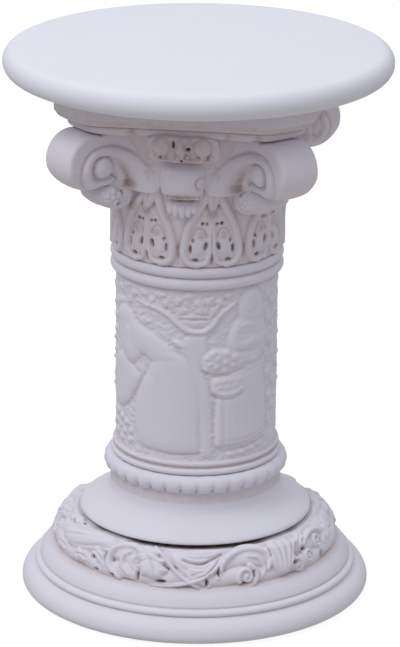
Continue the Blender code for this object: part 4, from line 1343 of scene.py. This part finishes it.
def draw_wreath(relief):
    """The vine of leaves, in degrees round and millimetres up the wreath's face, plainer behind."""
    # Two waving stems all round
    turns = np.linspace(-180, 180, 241)
    for level, swing, waves, start, width, height in (
        (9, 2.5, 15, 0.4, 8.5, 4.2), (26, 3, 13, 1.4, 9.0, 3.2),
    ):
        wave = level + swing * np.sin(turns * DEG * waves + start)
        relief.ridge(np.stack((turns, wave), axis=1), width, height, smooth=False)

    # Far left: leaf, scroll and holes
    relief.leaf([(-92, 10), (-84, 22), (-76, 36)], 9, 7.0, 4)
    relief.scroll((-73, 18), (12, 4), 80, 1.1, 3.6, 6.6, eye=3.4)
    relief.leaf([(-72, 34), (-64, 38), (-54, 37)], 5.5, 6.0, 3, depth=0.2)
    relief.leaf([(-68, 8), (-60, 11), (-50, 9)], 6.5, 6.0, 3, depth=0.2)
    # Large smooth leaf that runs up onto the cap's edge
    relief.mass([
        (-64, 18), (-63, 29), (-54, 36), (-44, 41), (-32, 41), (-29, 33), (-33, 25), (-38, 20), (-46, 14),
        (-57, 12),
    ], 7.2, 13)
    for points in (
        ((-60, 20), (-50, 27), (-38, 35)), ((-54, 15), (-45, 20), (-34, 28)),
        ((-62, 26), (-54, 33), (-44, 38)),
    ):
        relief.groove(points, 1.5, 1.5, (0.2, 1, 0.6), wash_and_shade_tint=0.15)
    relief.leaf([(-50, 9), (-43, 12), (-36, 9)], 6.0, 6.6, 3, depth=0.2)
    relief.leaf([(-40, 21), (-34, 18), (-29, 8)], 6.0, 6.6, 3, depth=0.25)
    relief.ridge([(-33, 24), (-29, 26), (-27, 32), (-24, 38)], 2.4, 6.8, (0.6, 1, 0.8))
    # First scroll
    relief.ridge([
        (-22, 4), (-27, 10), (-29, 20), (-27, 31), (-21, 37), (-15.5, 34), (-14.5, 27),
    ], 3.7, 7.4, (0.7, 1, 1, 1, 0.8))
    relief.ridge([(-18, 8), (-22, 15), (-22.5, 24), (-19, 30)], 2.7, 6.6, (0.6, 1, 0.7))
    relief.ridge([(-15, 12), (-18, 19), (-17, 26)], 2.2, 6.0, (0.6, 1, 0.7))
    # Lobed leaf whose tip hangs over the foot
    relief.mass([
        (-17.5, 38), (-13, 40.5), (-8.5, 38), (-6.2, 33), (-6.4, 29.5), (-3.2, 26), (-3.6, 21),
        (-1.4, 16), (-3.4, 11.5), (-3.6, 8.5), (-7.4, 6.6), (-10.2, 8.4), (-13.4, 8.8), (-13.6, 13.5),
        (-16.2, 17), (-14.6, 21.5), (-17.6, 25.5), (-16.6, 30), (-19, 34),
    ], 8.4, 7)
    relief.groove([(-14.5, 37), (-11, 28), (-8, 18), (-7, 9)], 1.1, 2.0, (0.5, 1, 0.7), wash_and_shade_tint=0.2)
    for foot, tip in (
        ((-12.4, 31), (-6.4, 29)), ((-10.6, 25), (-4, 21)), ((-12.2, 30), (-17, 27)),
        ((-10.4, 24), (-15.4, 18)),
    ):
        bend = ((foot[0] + tip[0]) / 2, (foot[1] + tip[1]) / 2 + 0.8)
        relief.groove([foot, bend, tip], 1.0, 1.8, (0.2, 1, 1), wash_and_shade_tint=0.2)
    # Fronds behind the crossing stems
    relief.mass([(2, 36), (6, 29), (12, 28.5), (18, 31), (23, 37), (18, 40), (8, 40)], 4.6, 5)
    relief.mass([(6, 21), (11, 19.5), (17, 23), (18, 28), (15, 17), (10, 14.5), (7, 16)], 4.2, 3.5)
    # Grooves under and between the fronds, the deepest painted dark as shadow, with the wash.
    relief.groove([
        (4, 27.5), (8, 24.6), (12, 24.2), (16.5, 28.5), (21, 33.5),
    ], 1.3, 3.4, (0.7, 1, 0.8), wash_and_shade_tint=1.0)
    relief.groove([(5, 35), (11, 33), (17, 35)], 0.9, 0.8, wash_and_shade_tint=0.25)
    relief.groove([(8, 13), (12, 12.6), (15, 14)], 1.2, 1.8, wash_and_shade_tint=0.5)
    # Crossing stems
    relief.ridge([(-9.5, 40), (-5, 31), (-1, 21), (4, 11), (11, 2)], 2.3, 7.2, (0.7, 1, 0.9))
    relief.ridge([(-6, 40), (-2, 32), (2, 22), (7, 12), (15, 3)], 1.9, 6.6, (0.5, 1, 0.8))
    relief.ridge([(-9, 2.6), (-1, 3.6), (6, 6.4), (12, 10), (17, 17), (20, 25)], 2.4, 7.4, (0.6, 1, 0.9))
    relief.ridge([(2, 9), (8, 10.6), (13, 14.5), (16.5, 22), (19, 29)], 1.6, 6.8, (0.5, 1, 0.7))
    # Spiral with its broad frond over it
    relief.ridge([
        (18.5, 10), (20.5, 22), (25, 32), (32, 37.5), (39, 34), (42, 24), (40, 13),
    ], 4.4, 7.6, (0.6, 1, 1.1, 1.1, 0.7))
    relief.ridge([(27, 37), (33, 38.5), (40, 35.5)], 2.0, 8.2, (0.5, 1, 0.5))
    relief.scroll((30, 9.5), (12.5, 3.4), 60, -1.55, 3.2, 7.4, squash=0.86, eye=2.6)
    relief.ridge([(36, 5), (38.5, 14), (37, 24), (32, 28)], 2.4, 6.6, (0.6, 1, 0.6))
    # Fan leaf
    relief.mass([
        (44, 5), (41.5, 14), (40.0, 26), (40.6, 34), (43, 36), (44, 40), (48, 41), (50, 39.5), (53, 40.5),
        (55.5, 36), (57.5, 35), (58.5, 29), (55, 20), (53, 10), (48, 4),
    ], 8.4, 7)
    for foot, low, top, high in (
        (44.6, 9, 42.8, 34), (46.2, 10, 47.2, 39), (48.2, 10, 51.3, 38.5), (50.0, 12, 55.4, 34),
    ):
        bend = ((foot + top) / 2 + 0.5, (low + high) / 2)
        relief.groove([(foot, low), bend, (top, high)], 1.2, 2.6, (0.2, 0.8, 1.2), wash_and_shade_tint=0.3)
    # Small spirals and the leaf scroll at the right
    relief.scroll((55, 8), (6.4, 2.0), 140, -1.2, 2.4, 7.0, eye=2.0)
    relief.scroll((62, 12), (6.4, 2.0), 20, 1.2, 2.4, 7.0, eye=2.0)
    relief.leaf([(57, 22), (61, 31), (67, 38)], 6.5, 7.4, 3, depth=0.2)
    relief.ridge([(61, 22), (66, 30), (73, 32), (78, 24), (76, 15)], 4.0, 7.4, (0.6, 1, 1, 0.7))
    relief.scroll((71, 20), (7, 2.6), 10, 1.1, 2.6, 7.0, eye=2.4)
    relief.leaf([(80, 8), (84, 20), (90, 34)], 9, 7.2, 4)
    # Holes among the leaves, painted dark inside as shadow.
    for place, size in (
        ((-63, 33.5), (3.4, 1.8)), ((-55.5, 39), (3.0, 1.6)), ((-37.2, 15.0), (3.2, 1.8)),
        ((-30.5, 20), (1.8, 2.6)), ((-14.2, 8.5), (1.7, 5.0)), ((-4.5, 6.5), (6.0, 1.5)),
        ((13.7, 6.6), (1.8, 3.6)), ((18.8, 15), (1.3, 4.6)), ((28.5, 3.6), (4.4, 1.3)),
        ((33.4, 11), (1.2, 3.2)), ((53.6, 12), (4.6, 1.8)), ((61.5, 20.5), (3.0, 2.0)),
        ((57, 17), (2.0, 1.2)), ((71.5, 6), (4.0, 4.6)), ((-25.5, 5.0), (3.4, 1.6)),
        ((-34, 5), (3.0, 1.4)), ((42.4, 27), (1.1, 5.0)),
    ):
        relief.pit(place, size, 0.8, wash_and_shade_tint=0.95)
    # Plainer repeats behind
    for turn in range(106, 106 + 5 * 37, 37):
        relief.origin[0] = turn
        relief.scroll((0, 18), (13, 4), 140, -1.25, 3.8, 7.2, eye=3.6)
        relief.leaf([(6, 8), (13, 20), (18, 37)], 11, 7.2, 4, depth=0.2)
        relief.leaf([(-5, 35), (2, 38), (9, 36)], 6, 6.6, 3, depth=0.2)
        relief.leaf([(12, 12), (20, 8), (26, 10)], 6.5, 6.6, 3, depth=0.2)
        # Holes painted dark inside as shadow.
        relief.pit((8, 28), (3.0, 2.4), 0.8, wash_and_shade_tint=0.8)
        relief.pit((22, 20), (3.0, 2.4), 0.8, wash_and_shade_tint=0.8)


def build_wreath(context):
    """The wreath: a sloping ring with the vine drawn on it, and a trench from its crest to the cap's edge.

    The trench is open, and painted dark as shadow, where the gap's share is near 1: in front, and at one
    place on each side.
    """
    sizes = context.scene.column_foot
    columns, rows, trench = 860, 84, 10
    given = np.array((
        (148.6, 51.0), (149.2, 55.0), (148.6, 60.2), (146.0, 66.6), (142.0, 73.0), (137.4, 79.0),
        (133.0, 83.6), (129.2, 86.2),
    )) * MM
    dip = np.array(((0.1288, 0.0864), (0.1262, sizes.trench_low), (0.1185, sizes.trench_low)))
    wall = np.vstack((evenly(flowing(given), rows), evenly(dip, trench)))
    scale = 0.149 * DEG
    azimuth = np.linspace(-180, 180, columns, endpoint=False)
    y = np.linspace(0, 0.040 * (rows + trench - 1) / (rows - 1), rows + trench)
    relief = Relief(azimuth * scale, y, (scale, MM), wraps=True)
    draw_wreath(relief)
    relief.soften(0.45)
    relief.height *= 1.12 - 0.62 * ease(y, 0.028, 0.040)[:, None]
    relief.height[rows:] *= np.linspace(0.7, 0, trench)[:, None]
    # Wash with painted shade in the hollows, and over the lowest rows where the wreath meets the base.
    wash_and_shade = relief.wash_and_shade(3.2, 3.6)
    wash_and_shade = np.maximum(wash_and_shade, 0.5 * (1 - ease(y, 0.001, 0.010))[:, None])
    gap = 0.3 + 0.7 * (ease(azimuth, -30, -20) * (1 - ease(azimuth, 42, 52)))
    beside = 0.8 * np.exp(-(((azimuth + 47) / 7) ** 2)) + 0.8 * np.exp(-(((azimuth - 66) / 6) ** 2))
    gap = np.maximum(gap, beside)
    relief.height[rows:] += 0.0024 * (1 - gap) * np.linspace(0, 1, trench)[:, None] ** 0.5
    # Painted shadow in the trench, darkest where it is open.
    wash_and_shade[rows:] = np.maximum(wash_and_shade[rows:], gap * np.linspace(0.1, 1, trench)[:, None])
    low = turned(np.array(((0.02, 0.0505), (0.10, 0.0505), (0.144, 0.0505))), columns)
    high = turned(np.array(((0.112, sizes.trench_low), (0.02, sizes.trench_low))), columns)
    grid = np.concatenate((low, turned(wall, columns, relief.height), high))
    # The trench's floor is painted fully dark as shadow.
    wash_and_shade = np.concatenate((np.zeros((3, columns)), wash_and_shade, np.full((2, columns), 1.0)))
    column_piece("wreath", [grid], [wash_and_shade])


def build_base(context):
    """The stepped base: a rolled edge, two grooves with a bead between them, and a sloping shoulder."""
    high = context.scene.column_foot.base_high
    edge = flowing(np.array((
        (173.0, 0.0), (180.0, 1.1), (185.0, 3.2), (187.6, 6.0), (188.3, 9.2), (187.5, 13.4),
        (185.0, 18.2), (180.8, 22.4), (175.5, 25.6), (172.6, 27.0), (171.9, 27.8),
    )) * MM)
    bead = flowing(np.array((
        (171.9, 27.8), (173.4, 28.8), (173.9, 30.6), (172.8, 32.8), (170.2, 34.2), (167.6, 34.9),
    )) * MM)
    shoulder = flowing(np.array((
        (167.6, 34.9), (168.0, 36.2), (167.2, 38.6), (164.6, 43.0), (160.2, 48.0), (155.4, 52.3),
        (151.0, 54.4), (144.0, 54.8),
    )) * MM)
    profile = np.vstack((
        line((0.01, 0.0), (0.173, 0.0), 10),
        evenly(edge, 28)[:-1],
        evenly(bead, 14)[:-1],
        evenly(shoulder, 32),
        np.linspace((0.13, high), (0.01, high), 8),
    ))
    columns = 320
    lift = 0.0003 * unevenness(columns, len(profile), 5)
    lift *= ease(profile[:, 1], 0.012, 0.03)[:, None]
    grid = turned(profile, columns, lift)
    # Wash with painted shade in the two grooves by the bead, and where the wreath stands on the shoulder.
    wash_and_shade = even_wash_and_shade(grid)
    gap = np.minimum(np.hypot(*(profile - (0.1719, 0.0278)).T), np.hypot(*(profile - (0.1676, 0.0349)).T))
    wash_and_shade += (0.5 * np.exp(-((gap / 0.0011) ** 2)))[:, None]
    near = np.exp(-(((profile[:, 0] - 0.150) / 0.006) ** 2)) * (profile[:, 1] > 0.05)
    wash_and_shade += 0.75 * near[:, None]
    column_piece("foot_base", [grid], [np.clip(wash_and_shade, 0, 1)])


# The stage


def build_stage(context):
    """A white floor, a soft sky, a large soft lamp at the left, a faint one at the right, and the camera."""
    sizes = context.scene.column_stage
    mesh = bpy.data.meshes.new("floor")
    reach = 30.0
    corners = [(x * reach, y * reach, -0.0005) for x, y in ((-1, -1), (1, -1), (1, 1), (-1, 1))]
    mesh.from_pydata(corners, [], [(0, 1, 2, 3)])
    floor = bpy.data.objects.new("floor", mesh)
    context.scene.collection.objects.link(floor)
    paint = bpy.data.materials.new("Floor")
    paint.use_nodes = True
    shader = paint.node_tree.nodes["Principled BSDF"]
    shader.inputs["Base Color"].default_value = (0.25, 0.25, 0.25, 1)
    shader.inputs["Roughness"].default_value = 1.0
    shader.inputs["Specular IOR Level"].default_value = 0.0
    shader.inputs["Emission Color"].default_value = (1, 1, 1, 1)
    shader.inputs["Emission Strength"].default_value = 0.85
    mesh.materials.append(paint)
    floor.visible_diffuse = False
    floor.visible_glossy = False

    world = bpy.data.worlds.new("Soft sky")
    context.scene.world = world
    world.use_nodes = True
    tree = world.node_tree
    place = tree.nodes.new("ShaderNodeTexCoord")
    split = tree.nodes.new("ShaderNodeSeparateXYZ")
    ramp = tree.nodes.new("ShaderNodeValToRGB")
    ramp.color_ramp.elements[0].position = 0.0
    ramp.color_ramp.elements[0].color = (0.62, 0.575, 0.55, 1)
    ramp.color_ramp.elements[1].position = 1.0
    ramp.color_ramp.elements[1].color = (0.96, 0.97, 1.0, 1)
    middle = ramp.color_ramp.elements.new(0.5)
    middle.color = (0.27, 0.27, 0.275, 1)
    shift = tree.nodes.new("ShaderNodeMath")
    shift.operation = "MULTIPLY_ADD"
    shift.inputs[1].default_value = 0.5
    shift.inputs[2].default_value = 0.5
    tree.links.new(place.outputs["Generated"], split.inputs["Vector"])
    tree.links.new(split.outputs["Z"], shift.inputs[0])
    tree.links.new(shift.outputs[0], ramp.inputs["Fac"])
    tree.links.new(ramp.outputs["Color"], tree.nodes["Background"].inputs["Color"])
    tree.nodes["Background"].inputs["Strength"].default_value = 1.0

    add_lamp(context, "key", (-1.6, -1.85, 3.3), 2.0, 42.0, (1.0, 0.99, 0.985))
    add_lamp(context, "fill", (2.6, -1.6, 1.6), 2.0, 2.0, (0.97, 0.98, 1.0))

    camera_data = bpy.data.cameras.new("camera")
    camera_data.sensor_width = 36.0
    camera_data.lens = sizes.lens
    camera_data.clip_end = 100.0
    camera = bpy.data.objects.new("camera", camera_data)
    camera.location = sizes.camera
    look = Euler((math.pi / 2 - sizes.dip, 0, sizes.turn)).to_matrix()
    camera.rotation_euler = (look @ Euler((0, 0, sizes.roll)).to_matrix()).to_euler()
    context.scene.collection.objects.link(camera)
    context.scene.camera = camera
    context.scene.view_settings.view_transform = "Standard"


def add_lamp(context, name, place, size, power, colour):
    """A square soft lamp that looks at the middle of the column."""
    data = bpy.data.lights.new(name, "AREA")
    data.size = size
    data.energy = power
    data.color = colour
    lamp = bpy.data.objects.new(name, data)
    lamp.location = place
    lamp.rotation_euler = (Vector((0, 0, 0.3)) - Vector(place)).to_track_quat("-Z", "Y").to_euler()
    context.scene.collection.objects.link(lamp)


# Operators and panel


class COLUMN_OT_top(bpy.types.Operator):
    """Add the round table top and its abacus"""

    bl_idname = "column.add_top"
    bl_label = "Table top"

    def execute(self, context):
        build_top(context)
        return {"FINISHED"}


class COLUMN_OT_capital(bpy.types.Operator):
    """Add the capital: bell, volutes, lower curls and side ornament"""

    bl_idname = "column.add_capital"
    bl_label = "Capital"

    def execute(self, context):
        build_bell(context)
        build_volutes(context)
        build_side_ornament(context)
        return {"FINISHED"}


class COLUMN_OT_drum(bpy.types.Operator):
    """Add the drum with its relief, the neck rings, the bead and the rope"""

    bl_idname = "column.add_drum"
    bl_label = "Drum"

    def execute(self, context):
        build_drum(context)
        build_rope(context)
        return {"FINISHED"}


class COLUMN_OT_foot(bpy.types.Operator):
    """Add the foot: cap, wreath and stepped base"""

    bl_idname = "column.add_foot"
    bl_label = "Foot"

    def execute(self, context):
        build_cap(context)
        build_wreath(context)
        build_base(context)
        return {"FINISHED"}


class COLUMN_OT_stage(bpy.types.Operator):
    """Add the floor, the lights and the camera"""

    bl_idname = "column.add_stage"
    bl_label = "Stage"

    def execute(self, context):
        build_stage(context)
        return {"FINISHED"}


OPERATORS = (COLUMN_OT_top, COLUMN_OT_capital, COLUMN_OT_drum, COLUMN_OT_foot, COLUMN_OT_stage)


class COLUMN_PT_panel(bpy.types.Panel):
    """Lists the column's pieces"""

    bl_idname = "COLUMN_PT_panel"
    bl_label = "Roman column"
    bl_space_type = "VIEW_3D"
    bl_region_type = "UI"
    bl_category = "Column"

    def draw(self, context):
        for operator in OPERATORS:
            self.layout.operator(operator.bl_idname)


CLASSES = (*GROUPS.values(), *OPERATORS, COLUMN_PT_panel)


def register():
    for item in CLASSES:
        bpy.utils.register_class(item)
    for name, group in GROUPS.items():
        setattr(bpy.types.Scene, name, bpy.props.PointerProperty(type=group))


def unregister():
    for name in GROUPS:
        delattr(bpy.types.Scene, name)
    for item in reversed(CLASSES):
        bpy.utils.unregister_class(item)


def main():
    """Registers the add-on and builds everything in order."""
    register()
    bpy.ops.column.add_top()
    bpy.ops.column.add_capital()
    bpy.ops.column.add_drum()
    bpy.ops.column.add_foot()
    bpy.ops.column.add_stage()


if __name__ == "__main__":
    main()
